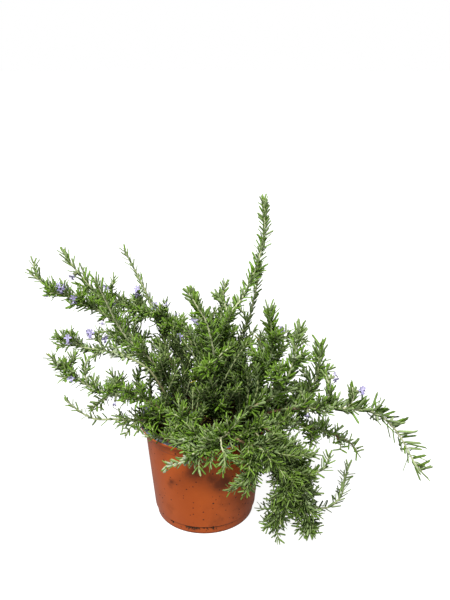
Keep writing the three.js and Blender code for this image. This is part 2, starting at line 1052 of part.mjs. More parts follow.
// A stem or shoot with its needles as one closed surface: a needle is a side of a whorl drawn out
function leafyGeometry(branch, bars) {
  const corners = [];
  const faces = [];
  const corner = (i, j) => i * STEM_SIDES + (j % STEM_SIDES);
  for (const ring of branch.rings) {
    for (let j = 0; j < STEM_SIDES; j++) corners.push(ringCorner(ring, j));
  }
  const last = branch.rings.length - 1;
  for (let i = 0; i < last; i++) {
    const isWhorl = branch.rings[i].whorl >= 0 && branch.rings[i].whorl === branch.rings[i + 1].whorl;
    for (let j = 0; j < STEM_SIDES; j++) {
      const loop = [corner(i, j), corner(i, j + 1), corner(i + 1, j + 1), corner(i + 1, j)];
      const needle = isWhorl ? growNeedle(branch.rings[i], j, branch, bars) : null;
      if (needle) {
        bars.push(needle);
        drawOut(loop, needle.b, corners, faces);
      } else {
        faces.push(loop[0], loop[1], loop[3], loop[1], loop[2], loop[3]);
      }
    }
  }
  const tip = growTip(branch.rings[last], branch, bars);
  bars.push(tip);
  const tipLoop = Array.from({ length: STEM_SIDES }, (_, j) => corner(last, j));
  drawOut(tipLoop, tip.b, corners, faces);
  for (let j = 1; j < STEM_SIDES - 1; j++) faces.push(corner(0, 0), corner(0, j + 1), corner(0, j));
  const geometry = new THREE.BufferGeometry().setFromPoints(corners);
  return geometry.setIndex(faces);
}

function drawOut(loop, tip, corners, faces) {
  const point = corners.push(tip) - 1;
  loop.forEach((a, k) => faces.push(a, loop[(k + 1) % loop.length], point));
}

// Flowers: each head stands a small gap off the end of its calyx
function seatFlower(plant, [share, blooms, towards, shoot = 0]) {
  const stem = plant.branches[shoot];
  const at = pointAlong(stem.points, share);
  const wish = new THREE.Vector3(...towards);
  const axis = along(wish, at.direction, -0.8 * wish.dot(at.direction)).normalize();
  const seat = along(at.point, axis, stem.radius + CALYX_LENGTH + FIT_GAP);
  return { root: at.point, axis, seat, blooms };
}

function bloomDirections(head) {
  if (head.blooms === 1) return [head.axis.clone()];
  const side = new THREE.Vector3(1, 0, 0).cross(head.axis).normalize();
  const spread = THREE.MathUtils.degToRad(HEAD_SPREAD);
  return Array.from({ length: head.blooms }, (_, i) => {
    const outward = side.clone().applyAxisAngle(head.axis, (i * 2 * Math.PI) / head.blooms);
    return along(head.axis.clone().multiplyScalar(Math.cos(spread)), outward, Math.sin(spread));
  });
}

function calyxGeometry(head) {
  const length = head.seat.distanceTo(head.root) - FIT_GAP;
  const calyx = new THREE.CylinderGeometry(CALYX_RADIUS, CALYX_FOOT_RADIUS, length, STEM_SIDES);
  return placed(calyx.translate(0, length / 2, 0), head.root, head.axis);
}

// A bloom is turned with two sides for each lobe, and its rim is drawn out at the lobes
function bloomGeometry(base, forward) {
  const profile = [
    [0, 0],
    [THROAT_RADIUS, THROAT_LENGTH],
    [BLOOM_REACH, BLOOM_DEPTH],
    [0, THROAT_LENGTH + THROAT_RISE],
  ].map(([r, y]) => new THREE.Vector2(r, y));
  const bloom = new THREE.LatheGeometry(profile, 2 * LOBES.length);
  const position = bloom.attributes.position;
  for (let v = 0; v < position.count; v++) {
    const x = position.getX(v);
    const z = position.getZ(v);
    const r = Math.hypot(x, z);
    if (r < BLOOM_REACH - 1) continue;
    const side = Math.round((Math.atan2(x, z) / Math.PI) * LOBES.length + 2 * LOBES.length);
    const lobe = LOBES[(side / 2) % LOBES.length];
    const reach = lobe ? lobe.reach : NOTCH_REACH;
    const lift = lobe ? lobe.lift : THROAT_LENGTH + 1;
    position.setXYZ(v, (x / r) * reach, lift, (z / r) * reach);
  }
  return placed(bloom, base, forward);
}

function makeFlower(head) {
  if (head.blooms === 1) return solidOf(bloomGeometry(head.seat, head.axis));
  const heart = along(head.seat, head.axis, HEART_RADIUS);
  const core = new THREE.OctahedronGeometry(HEART_RADIUS);
  const blooms = bloomDirections(head).map((direction) => bloomGeometry(heart, direction));
  return fused([placed(core, heart, head.axis), ...blooms]);
}

// The room that a head and its calyx take
function flowerBars(head) {
  const bars = bloomDirections(head).map((direction) => ({
    from: head,
    a: along(head.seat, direction, BLOOM_REACH),
    b: along(head.seat, direction, BLOOM_DEPTH),
    radius: BLOOM_REACH,
  }));
  bars.push({ from: head, a: head.seat, b: bars[0].a, radius: CALYX_RADIUS });
  bars.push({ from: head, a: head.root, b: head.seat, radius: CALYX_RADIUS });
  return bars;
}

// Assembly: every stem's and flower's place is known before the first needle grows
const plants = STEMS.map(growPlant);
bendClear(plants);

const bars = [];
const heads = [];
for (const plant of plants) {
  for (const branch of plant.branches) {
    setRings(branch);
    for (let i = 1; i < branch.rings.length; i++) {
      const [a, b] = [branch.rings[i - 1].centre, branch.rings[i].centre];
      bars.push({ from: branch, a, b, radius: branch.rings[i - 1].radius });
    }
  }
  plant.heads = plant.flowers.map((flower) => seatFlower(plant, flower));
  for (const head of plant.heads) {
    heads.push(head);
    bars.push(...flowerBars(head));
  }
}

const rosemary = new THREE.Group();

function addPiece(name, solid, color, roughness) {
  const material = new THREE.MeshStandardMaterial({ color, roughness, metalness: 0, flatShading: true });
  const mesh = new THREE.Mesh(geometryOf(solid), material);
  mesh.name = name;
  rosemary.add(mesh);
}

addPiece("pot", makePot(), TERRACOTTA, 0.45);
addPiece("soil", makeSoil(plants), SOIL_BROWN, 0.95);

for (const plant of plants) {
  const leafy = plant.branches.map((branch) => leafyGeometry(branch, bars));
  addPiece(plant.name, fused([...leafy, ...plant.heads.map(calyxGeometry)]), LEAF_GREEN, 0.6);
}

heads.forEach((head, i) => {
  const name = "flower_head_" + String(i + 1).padStart(2, "0");
  addPiece(name, makeFlower(head), FLOWER_VIOLET, 0.55);
});

export default rosemary;
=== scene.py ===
# A rosemary plant in a round plastic nursery pot, dressed on its fixed frame: fine needles, bark, buds
# and flowers in place of the plain solids, a smooth pot and crumbly soil. The plant grows in
# millimetres, by the same rules as its solids. The pot and the soil are shaped in metres.

import functools
import math
from dataclasses import dataclass, field

import bmesh
import bpy
import numpy as np
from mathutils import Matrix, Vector


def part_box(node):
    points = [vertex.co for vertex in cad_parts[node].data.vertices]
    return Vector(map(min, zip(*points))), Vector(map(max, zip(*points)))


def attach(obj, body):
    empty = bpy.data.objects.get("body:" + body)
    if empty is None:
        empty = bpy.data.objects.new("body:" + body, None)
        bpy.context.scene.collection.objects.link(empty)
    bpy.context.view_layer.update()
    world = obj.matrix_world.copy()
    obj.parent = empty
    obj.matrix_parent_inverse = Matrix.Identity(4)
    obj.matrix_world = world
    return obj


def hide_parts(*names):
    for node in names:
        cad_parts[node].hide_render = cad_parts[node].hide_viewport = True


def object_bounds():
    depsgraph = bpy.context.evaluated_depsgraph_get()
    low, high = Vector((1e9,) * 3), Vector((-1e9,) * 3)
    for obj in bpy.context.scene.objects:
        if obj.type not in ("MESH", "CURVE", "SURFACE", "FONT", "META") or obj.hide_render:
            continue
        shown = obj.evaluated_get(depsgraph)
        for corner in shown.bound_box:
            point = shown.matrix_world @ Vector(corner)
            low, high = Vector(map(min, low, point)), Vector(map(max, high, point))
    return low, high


bl_info = {
    "name": "Potted Rosemary",
    "version": (1, 0, 0),
    "blender": (4, 5, 0),
    "location": "3D View > Sidebar > Rosemary",
    "description": "Makes the finished look of a potted rosemary plant on its frame",
    "category": "Object",
}

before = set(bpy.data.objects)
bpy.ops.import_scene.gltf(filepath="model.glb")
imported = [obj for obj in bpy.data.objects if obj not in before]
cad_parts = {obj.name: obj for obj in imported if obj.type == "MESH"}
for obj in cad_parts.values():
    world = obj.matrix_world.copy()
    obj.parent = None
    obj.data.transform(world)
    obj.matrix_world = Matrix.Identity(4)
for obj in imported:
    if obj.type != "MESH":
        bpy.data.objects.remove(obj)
CAD_LOW, CAD_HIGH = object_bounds()
POT_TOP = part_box("pot")[1]
MM = 0.001
SEED = 11
UPWARD = Vector((0, 0, 1))

# The pot, in millimetres
POT_HEIGHT = POT_TOP.z / MM
LIP_RADIUS = POT_TOP.x / MM
LIP_WIDTH = 5.5
LIP_THICKNESS = 2.6
LIP_SKIRT = 0.6
LINING_EDGE = 0.4
LINING_FOOT = 1.5
WALL = 1.6
BODY_TOP_RADIUS = 78
BODY_FOOT_RADIUS = 68
RIDGE_HEIGHT = 119
RIDGE_STEP = 0.6
FOOT_RADIUS = 65
FOOT_HEIGHT = 12
FOOT_STEP = 1.6
FOOT_ROUND = 0.25
STEP_HEIGHT = 0.7
BAND_FLARE = 0.8
FLOOR_THICKNESS = 2.2
FLOOR_HOLLOW = 0.8
HOLLOW_EDGE = 4
DRAIN_HOLES = 6
DRAIN_RADIUS = 5
DRAIN_CIRCLE = 50
# Damp smudges on the pot: angle about it, height and spread
SMUDGES = [(-97, 103, 21), (-95, 116, 15), (-73, 78, 21), (-80, 88, 14), (-123, 76, 10)]

# The soil, in millimetres
SOIL_EDGE_HEIGHT = 118
SOIL_MIDDLE_HEIGHT = 122
SOIL_SIDES = 110
SOIL_RINGS = 34
# Lumps of the soil's top: their size and their share of the height
SOIL_LUMPS = [(14, 1), (4.5, 0.6)]
# Litter on it: how far it reaches from the middle, how it lies and its sizes, drawn at random
CRUMB_REACH = 73
CRUMB_SIZES = (-0.25, 0.45)
CRUMB_RANGE = (0.35, 2.2)
CRUMB_SINK = 0.4
CHIP_REACH = 72
CHIP_LIFT = 1.2
CHIP_WIDTHS = (0.8, 2)
CHIP_LENGTHS = (0.7, 2.2)
NEEDLE_REACH = 66
NEEDLE_LIFT = 2.2
NEEDLE_WIDTH = 0.55
NEEDLE_LENGTHS = (0.4, 0.85)
NEEDLE_BOW = 0.02
# Crumbs in the seam over the pot's foot: the middle and spread of a clump, and more spots, as angles
SEAM_CLUMP = (-104, 7)
SEAM_SPOTS = (-90, -86, -79, -128)
SEAM_CRUMBS = 44
SEAM_SIZES = (0.4, 1.2)
SEAM_WANDER = 1.6
SEAM_DROP = 1.2

# The plant's growth, in millimetres, degrees and shares
FIT_GAP = 0.3
ROOT_TOP = 126
ROOT_BOTTOM = 104
SHOOT_RADIUS = 1.35
SHOOT_BOW = 0.18
SHOOT_BEND = 0.45
BEND_STEP = 24
BEND_ROUNDS = 60
STEM_GAP = 1.4
FLOOR_GAP = 0.7
CALYX_LENGTH = 5
HEART_RADIUS = 1.7
HEAD_SPREAD = 50
HEAD_TURN = 0.8
ARC_DIVISIONS = 200

# What dresses the stems, in millimetres, degrees and shares
STEM_TIP, SHOOT_TIP, TWIG_TIP = 1, 0.9, 0.75
BARK_STEP = 5
BARE_SHOOT = 3
BARE_INNER = 0.15
TIP_TRIM = 7
TIP_TILT = 34
YOUNG_STRETCH = 30
TWIG_RADIUS = 1
TWIG_LENGTHS = (18, 44)
TWIG_TILTS = (35, 60)
TWIG_SHORTENING = (1.15, 0.7)
TWIG_BOW = 0.1
TWIG_ROOM = 4
TWIG_CLEARANCE = 3
TWIGS_ON_SHOOTS = 0.25
SHOOT_TWIG = (0.1, 0.6)
SHOOT_TWIG_SIZE = 0.6
SHOOT_TWIG_TILT = 45
INNER_LENGTHS = (40, 90)
INNER_SHARES = (0.04, 0.32)
INNER_TILT = 50
INNER_LIFT = 0.9
INNER_REACH = 74
# Painted shade: the inner twigs' leaves are set this much deeper in tone, to darken the plant's middle
INNER_PAINTED_SHADE = 0.9
TWIG_LEAF = 12.5
INNER_LEAF = 10
SPARSE_LEAF = 0.62
YOUNG_SMALLER = 0.25
YOUNG_CLOSER = 0.42
LEAF_LENGTHS = (0.8, 1.12)
LEAF_WIDTHS = (0.85, 1.1)
LEAF_ROLL = 0.65
LEAF_BOW = 0.007
LEAF_SEAT = 0.6
LEAF_CLEARANCE = 0.8
LEAF_TONES = (-0.3, 1.3)
YELLOW_TONE = 2
YELLOW_SHARE = 0.002
TILT_WANDER = 7
SIDE_WANDER = 0.2
TURN_WANDER = 0.12
GAP_WANDER = (0.85, 1.15)
AXIL_TILTS = (0.6, 1)
AXIL_TURNS = (0.3, 0.9)
AXIL_SIZES = (0.45, 0.8)
LEAF_LENGTH = 15
LEAF_HALF = 1.32
LEAF_RISE = 0.62
RIM_DROP = 0.55
# A leaf's rings: how far along they are and how wide
LEAF_RINGS = [(0, 0.45), (3, 1), (13.4, 0.88)]
BUDS_TOGETHER = 5
BUD_SIZES = (1.1, 1.6)
BUD_SEAT = 1.6
BLOOM_SIZES = (0.9, 1.05)
BLOOM_RIM = 1.75
BLOOM_THROAT = 4.4
BLOOM_REACH = 6.2
BLOOM_SIDES = 12
STAMEN_LEAN = 0.22
SMALL_CUP = (0.85, 0.85, 4)
SMALL_CUP_SEAT = 2.2

# The stage
FLOOR_RADIUS = 30
FLOOR_GLOW = 0.29
FLOOR_SEEN = 0.96
KEY_PLACE = (-0.26, -0.9, 1.5)
KEY_WIDTH = 26
CAMERA_PLACE = (0.02709, -0.80115, 0.58175)
CAMERA_TILT = 70.48
CAMERA_LENS = 41.18


@dataclass
class Stem:
    """One stem: where it stands, the points it passes, its side shoots as (share, run), its flower
    heads as (share, blooms, direction, shoot), and how it is dressed"""

    name: str
    foot: tuple
    radius: float
    path: list
    shoots: list = field(default_factory=list)
    flowers: list = field(default_factory=list)
    leaf: float = 13  # length of a leaf
    gap: float = 5  # between pairs of leaves
    tilt: float = 58  # of a leaf off its stem
    axils: float = 0.6  # small leaves by each leaf
    rise: float = 0.2  # how much leaves turn upwards
    bare: float = 10  # without leaves at the foot
    twigs: int = 4
    inner: int = 5  # long twigs from the lower part
    reach: tuple = (0.12, 0.76)  # where the twigs grow
    lift: float = 0.25  # how much twigs turn upwards
    spread: float = 1  # size of the twigs
    buds: int = 0  # clusters of them
    budded: tuple = (0.35, 0.9)  # where they grow
    wood: float = 0.35  # how far the bark is brown
    pale: float = 0.3  # down on the young bark
    bright: float = 0  # green of the leaves, lighter or deeper: partly their own tone, partly painted light on shaded stems and painted shade on lit ones
    broad: float = 1  # width of the leaves
    curl: float = 0.008  # bow of the leaves
    sparse: tuple = (0, 0)  # where leaves are small


STEMS = [
    Stem(
        "left_long", foot=(-30, 8), radius=2.5, axils=0.9, twigs=28, inner=0, reach=(0.6, 0.96), spread=0.8,
        buds=10, bright=0.4, sparse=(0.3, 0.5),
        path=[(-42, 13, 165), (-60, 18, 192), (-84, 15, 232), (-112, 8, 265), (-141, 0, 290),
            (-167, -6, 304), (-198, -8, 326), (-214, -5, 339)],
        shoots=[(0.93, (-8, 16, 24)), (0.72, (6, -20, 22)), (0.82, (-14, -20, 6)), (0.52, (-10, -8, -16))],
        flowers=[(0.84, 3, (0.5, -0.7, 0.9)), (0.88, 1, (0, -0.6, -1)), (0.77, 2, (0, -1, 0.3)),
            (0.62, 1, (0.2, -0.6, -1))],
    ),
    Stem(
        "left_forward", foot=(-22, 24), radius=2.3, leaf=15, gap=5.6, tilt=50, twigs=12, inner=8,
        reach=(0.25, 0.8), buds=3, bright=0.1,
        path=[(-38, 28, 158), (-72, 30, 202), (-97, 28, 239), (-118, 25, 273), (-138, 22, 301),
            (-162, 24, 332), (-179, 30, 356)],
        shoots=[(0.62, (-26, 4, 12)), (0.5, (10, -12, 26))],
        flowers=[(0.87, 1, (-0.4, -1, -0.4)), (0.66, 1, (0.8, -0.7, 0.5))],
    ),
    Stem(
        "left_back", foot=(-12, 38), radius=2.2, leaf=11.5, gap=4.6, tilt=42, axils=0.5, twigs=16, inner=8,
        reach=(0.15, 0.5), bright=0.2,
        path=[(-26, 42, 156), (-46, 46, 192), (-59, 57, 236), (-75, 68, 275), (-94, 80, 312),
            (-111, 88, 344)],
        shoots=[(0.45, (22, 14, 26))],
    ),
    Stem(
        "left_pale", foot=(-26, -8), radius=2.2, leaf=14, bare=8, twigs=9, inner=8, reach=(0.45, 0.8),
        pale=0.8, bright=0.3,
        path=[(-32, -9, 161), (-54, -14, 206), (-68, -17, 227), (-94, -24, 258), (-103, -29, 277),
            (-111, -35, 301), (-126, -44, 346)],
        shoots=[(0.5, (-24, -8, 12))],
    ),
    Stem(
        "left_middle", foot=(-40, -18), radius=2.1, leaf=11, gap=4.8, tilt=60, axils=1.1, bare=8, twigs=16,
        inner=6, reach=(0.68, 0.95), spread=0.7, buds=8, bright=0.15, sparse=(0.3, 0.66),
        path=[(-47, -23, 174), (-56, -27, 198), (-68, -30, 218), (-85, -32, 231), (-103, -34, 240),
            (-121, -36, 246), (-145, -38, 250), (-164, -39, 257), (-180, -40, 267)],
        shoots=[(0.84, (-9, -6, 30)), (0.7, (-6, 4, 32)), (0.6, (-12, 6, 18))],
        flowers=[(0.7, 3, (-0.8, -0.6, 0.2), 2), (0.55, 2, (-0.2, -1, 0.3), 1),
            (0.5, 1, (0.8, -0.6, 0.3), 2)],
    ),
    Stem(
        "left_low", foot=(-46, -32), radius=2.1, leaf=11.5, gap=4.4, tilt=66, axils=1.0, bare=6, twigs=42,
        inner=6, reach=(0.1, 0.95), spread=0.62, buds=8, bright=0.15,
        path=[(-52, -36, 160), (-72, -43, 183), (-103, -48, 191), (-124, -52, 199), (-150, -56, 216),
            (-168, -58, 233), (-182, -60, 254)],
        shoots=[(0.68, (2, 12, 36)), (0.52, (6, 8, 18)), (0.4, (-6, -14, 24)), (0.8, (10, 8, 30))],
        flowers=[(0.5, 1, (-0.2, -0.4, -1)), (0.8, 1, (0.1, -1, 0.2))],
    ),
    Stem(
        "left_sparse", foot=(-57, -10), radius=1.9, leaf=10.5, gap=6.5, tilt=60, axils=0.5, bare=4,
        twigs=24, inner=8, reach=(0.02, 0.42), spread=0.8, bright=0.1,
        path=[(-67, -25, 144), (-87, -38, 151), (-106, -40, 154), (-124, -42, 153), (-142, -45, 159),
            (-158, -47, 173), (-172, -50, 191)],
        shoots=[(0.34, (-16, -18, 12))],
    ),
    Stem(
        "left_upper", foot=(-10, 14), radius=2.3, leaf=10.5, tilt=60, axils=1.3, twigs=76, inner=12,
        reach=(0.4, 0.98), lift=-0.15, spread=0.9, buds=14, bright=0.1,
        path=[(-9, 17, 153), (-7, 21, 185), (-12, 26, 216), (-27, 32, 243), (-47, 37, 258), (-71, 41, 268),
            (-97, 43, 274), (-123, 44, 279), (-147, 44, 284)],
        shoots=[(0.86, (-2, -8, 38)), (0.6, (-8, -14, 26)), (0.72, (-6, 6, 34))],
        flowers=[(0.66, 1, (-0.2, -0.6, 0.7), 1), (0.66, 2, (0, -0.5, 1), 3), (0.67, 2, (0.1, -0.6, 1)),
            (0.62, 1, (0.6, -0.2, 0.8), 2), (0.47, 2, (-0.8, -1, -0.2)), (0.57, 1, (0.6, 0.1, 1))],
    ),
    # Its leaves are set lighter: partly their own paler green, partly painted light on the shoot that the
    # main stem shades
    Stem(
        "tallest", foot=(-4, -4), radius=2.6, leaf=12.5, gap=2.8, tilt=52, axils=0.7, rise=0.1, bare=26,
        twigs=8, inner=16, reach=(0.12, 0.4), pale=1, bright=0.9, broad=1.2,
        path=[(0, 0, 185), (14, 5, 235), (29, 9, 271), (44, 15, 288), (61, 22, 319), (74, 27, 362),
            (76, 30, 388), (74, 30, 424)],
        shoots=[(0.48, (-20, 8, 30)), (0.62, (22, 10, 30))],
    ),
    Stem(
        "upright_back", foot=(16, 26), radius=2.1, leaf=11, gap=4.8, tilt=46, bare=26, twigs=14, inner=14,
        reach=(0.1, 0.5), bright=0.2, broad=1.1,
        path=[(30, 30, 166), (44, 38, 214), (58, 45, 252), (67, 52, 290), (75, 60, 330)],
        shoots=[(0.42, (30, 10, 30)), (0.6, (-20, 14, 28))],
    ),
    Stem(
        "upright_middle", foot=(14, 8), radius=2.2, leaf=12, gap=4, tilt=62, axils=0.7, bare=26, twigs=14,
        inner=16, reach=(0.1, 0.6), bright=0.1, broad=1.15,
        path=[(22, 11, 180), (24, 14, 245), (22, 17, 282), (29, 20, 320)],
        shoots=[(0.62, (-24, 6, 26)), (0.66, (14, 8, 30))],
    ),
    Stem(
        "upright_front", foot=(15, -30), radius=2.2, leaf=14, gap=4.2, tilt=68, axils=0.7, bare=26,
        twigs=14, inner=16, reach=(0.1, 0.55), pale=0.8, bright=0.1, broad=1.25,
        path=[(17, -36, 175), (15, -42, 221), (12, -45, 256), (3, -46, 292), (-10, -46, 313),
            (-18, -46, 329)],
        shoots=[(0.38, (-20, -12, 24)), (0.5, (22, -8, 26))],
        flowers=[(0.8, 1, (-1, 0.2, -0.2))],
    ),
    Stem(
        "upright_thick", foot=(46, 4), radius=2.4, leaf=17.5, gap=2.8, axils=1, bare=26, twigs=12, inner=12,
        buds=4, pale=0.2, bright=0.25, broad=1.15,
        path=[(60, 1, 164), (76, -7, 199), (85, -12, 228), (85, -16, 258), (80, -20, 299)],
        shoots=[(0.5, (-26, -8, 28)), (0.42, (18, 14, 32))],
    ),
    Stem(
        "right_near", foot=(38, -24), radius=2.2, leaf=18, gap=4, tilt=54, axils=0.7, twigs=12, inner=8,
        buds=3, bright=0.1, broad=1.35,
        path=[(50, -30, 158), (72, -34, 172), (90, -36, 185), (103, -39, 209), (111, -40, 238),
            (114, -40, 261), (119, -40, 283)],
        shoots=[(0.5, (-14, -10, 30))],
    ),
    Stem(
        "right_far", foot=(52, 18), radius=2.2, leaf=19, gap=3.8, axils=0.7, twigs=8, inner=8, bright=0.05,
        broad=1.35,
        path=[(62, 12, 144), (80, 5, 148), (108, 2, 153), (130, 0, 167), (144, 0, 188), (147, 0, 215),
            (147, 0, 245)],
        shoots=[(0.6, (-16, 10, 26))],
    ),
    Stem(
        "right_long", foot=(54, -14), radius=2.4, leaf=20, gap=5.2, axils=0.15, rise=0.4, twigs=32,
        reach=(0.25, 0.62), lift=0.5, spread=0.6, buds=5, pale=0.8, bright=-0.05, broad=1.3, curl=0.03,
        sparse=(0, 0.42),
        path=[(70, -20, 148), (92, -26, 157), (122, -32, 165), (152, -38, 169), (184, -42, 169),
            (212, -46, 166), (232, -50, 152), (248, -53, 132), (262, -58, 106), (279, -61, 86)],
        shoots=[(0.4, (-2, 10, 48)), (0.5, (2, -6, 38)), (0.3, (-6, 10, 30)), (0.55, (8, 8, 13))],
        flowers=[(0.74, 2, (1, -0.4, 0.3), 1), (0.7, 3, (1, -0.5, 0.4), 2), (0.33, 1, (0, -0.9, -0.5))],
    ),
    # Its leaves are set much lighter: painted light where the long stem and its foliage above shade them
    Stem(
        "right_woody", foot=(60, 2), radius=2.2, leaf=14, gap=4, tilt=72, axils=0.5, rise=0.6, twigs=30,
        lift=0.2, spread=0.72, buds=8, wood=1.05, bright=0.8,
        path=[(74, -2, 143), (88, -4, 144), (112, -8, 134), (139, -5, 122), (160, 0, 112), (180, 4, 102),
            (196, 6, 92), (210, 9, 68)],
        shoots=[(0.72, (6, -8, -26)), (0.5, (-2, 12, -30))],
    ),
    Stem(
        "right_hooked", foot=(50, -36), radius=1.9, leaf=14, gap=4.6, axils=0.3, twigs=12, inner=0,
        reach=(0.03, 0.45),
        path=[(64, -42, 143), (80, -46, 145), (98, -45, 120), (118, -44, 90), (133, -46, 78),
            (147, -48, 81), (155, -50, 92), (159, -50, 114)],
    ),
    # The three hanging stems' leaves are set deeper: painted shade on the clump that the key light lights
    # from the front
    Stem(
        "hanging_front", foot=(40, -46), radius=2, leaf=12.5, gap=4.4, axils=0.9, twigs=66, inner=2,
        reach=(0.2, 0.9), lift=-0.15, buds=12, bright=-0.6,
        path=[(52, -56, 142), (64, -66, 144), (84, -64, 131), (101, -69, 122), (113, -76, 103),
            (121, -79, 82), (127, -80, 56), (130, -78, 30), (134, -75, 4)],
        shoots=[(0.62, (20, 14, -22)), (0.45, (-12, -20, -28)), (0.8, (-18, -10, -14))],
    ),
    Stem(
        "hanging_inner", foot=(26, -56), radius=2, leaf=12, gap=4.4, axils=0.9, twigs=86, inner=2,
        reach=(0.2, 0.9), lift=-0.15, spread=1.35, buds=14, bright=-0.6,
        path=[(38, -68, 143), (52, -82, 143), (78, -84, 132), (96, -84, 112), (100, -84, 88), (98, -82, 62),
            (92, -80, 34), (86, -76, 8)],
        shoots=[(0.48, (10, -18, -44)), (0.68, (-14, -2, -26)), (0.8, (14, -8, -18))],
    ),
    Stem(
        "hanging_floor", foot=(64, -24), radius=2, leaf=14.5, gap=4.2, axils=0.4, bare=4, twigs=26,
        reach=(0.02, 0.45), bright=-0.3,
        path=[(76, -33, 145), (92, -40, 136), (108, -48, 104), (120, -52, 76), (130, -38, 42),
            (138, -18, 14), (152, -22, 5), (174, -10, 4), (190, 12, 4), (198, 40, 4), (207, 70, 4),
            (215, 92, 5)],
        shoots=[(0.36, (22, -4, -30)), (0.3, (26, 14, -12))],
    ),
    Stem(
        "front_sprig", foot=(28, -42), radius=1.9, leaf=12, gap=4.8, tilt=54, twigs=30, inner=0,
        reach=(0.08, 0.7), lift=-0.35, buds=9, budded=(0.55, 0.97), pale=0.7, bright=-0.1,
        path=[(33, -56, 147), (30, -74, 153), (16, -88, 149), (-1, -95, 144), (-20, -98, 131),
            (-37, -98, 123), (-50, -98, 122)],
        shoots=[(0.42, (18, -12, -26)), (0.62, (-10, -18, 6))],
    ),
    Stem(
        "front_right", foot=(50, -50), radius=1.9, leaf=12, gap=4.8, tilt=52, axils=0.8, twigs=48, inner=0,
        reach=(0.1, 0.9), lift=-0.6, spread=1.2, buds=8, bright=-0.4,
        path=[(58, -59, 143), (70, -72, 146), (73, -85, 134), (64, -93, 116), (50, -95, 100), (40, -95, 90)],
        shoots=[(0.5, (-22, -14, 2))],
    ),
    Stem(
        "front_short", foot=(0, -56), radius=1.8, leaf=12, gap=4.8, tilt=52, twigs=28, inner=0,
        reach=(0.05, 0.8), lift=-0.3, buds=5, bright=-0.1,
        path=[(-2, -68, 146), (-9, -84, 153), (-24, -92, 149)],
        shoots=[(0.5, (22, -18, -4))],
    ),
    Stem(
        "rim_left", foot=(-30, -46), radius=1.8, leaf=10.5, gap=5.5, tilt=54, bare=4, twigs=8, inner=0,
        lift=0.6,
        path=[(-36, -56, 142), (-46, -68, 147), (-60, -78, 148), (-74, -84, 158)],
        shoots=[(0.4, (14, -22, 6))],
    ),
    Stem(
        "front_low", foot=(-14, -38), radius=1.9, leaf=12, gap=4.8, tilt=54, twigs=20, inner=6, lift=0,
        path=[(-16, -48, 148), (-24, -56, 162), (-40, -62, 176)],
        shoots=[(0.3, (16, -24, 6)), (0.5, (10, -16, 20))],
        flowers=[(0.6, 1, (1, 0.3, 0.5))],
    ),
    Stem(
        "back_left", foot=(-46, 30), radius=2.2, twigs=14,
        path=[(-62, 46, 156), (-84, 66, 182), (-108, 88, 204), (-134, 106, 212), (-158, 118, 206)],
        shoots=[(0.5, (10, 22, 30)), (0.66, (-22, 2, 20)), (0.8, (4, 22, -14))],
        flowers=[(0.72, 2, (-0.2, 0.6, 1))],
    ),
    Stem(
        "back_side", foot=(-60, 12), radius=2, twigs=14,
        path=[(-74, 22, 146), (-96, 36, 152), (-122, 48, 146), (-146, 56, 130), (-166, 62, 108)],
        shoots=[(0.5, (-4, 20, 22)), (0.7, (-10, -18, -16))],
    ),
    Stem(
        "back_middle", foot=(-22, 54), radius=2.2, twigs=14,
        path=[(-28, 72, 156), (-38, 98, 186), (-46, 126, 206), (-50, 152, 208), (-50, 176, 196)],
        shoots=[(0.45, (-20, 10, 26)), (0.66, (18, 16, 16))],
        flowers=[(0.62, 3, (0.3, 0.4, 1))],
    ),
    Stem(
        "back_upright", foot=(4, 46), radius=2.3, leaf=14, bare=26, twigs=14, inner=9,
        path=[(6, 58, 170), (2, 72, 214), (-8, 86, 250), (-22, 100, 282)],
        shoots=[(0.45, (20, 18, 22)), (0.62, (-24, 4, 20))],
    ),
    Stem(
        "back_right", foot=(38, 44), radius=2.2, twigs=14,
        path=[(52, 60, 156), (74, 84, 182), (100, 108, 198), (128, 126, 196), (152, 138, 178)],
        shoots=[(0.45, (2, 22, 26)), (0.62, (24, -2, 22)), (0.78, (4, 20, -18))],
        flowers=[(0.7, 2, (0.3, 0.4, 1))],
    ),
    Stem(
        "back_trailing", foot=(14, 62), radius=2, twigs=16,
        path=[(18, 80, 143), (24, 98, 132), (32, 108, 98), (40, 114, 62), (50, 122, 30), (60, 134, 6)],
        shoots=[(0.4, (24, 14, -16)), (0.6, (-22, 10, -24)), (0.78, (14, 16, -10))],
    ),
    Stem(
        "side_right", foot=(58, 32), radius=2.1, twigs=14,
        path=[(74, 40, 146), (100, 50, 152), (128, 60, 142), (152, 68, 118), (168, 74, 88)],
        shoots=[(0.42, (8, 12, 28)), (0.6, (20, -10, 12)), (0.78, (-4, 18, -18))],
    ),
]


@dataclass
class Branch:
    """A stem, a shoot or a twig as a row of points, with where it is seated on its stem"""

    points: list
    radius: float
    share: float = None


@dataclass
class Plant:
    """A stem with its branches, the stem itself first"""

    stem: Stem
    branches: list


@dataclass
class Head:
    """A flower head: where its calyx grows and ends, which way it faces and its number of blooms"""

    root: Vector
    seat: Vector
    axis: Vector
    blooms: int


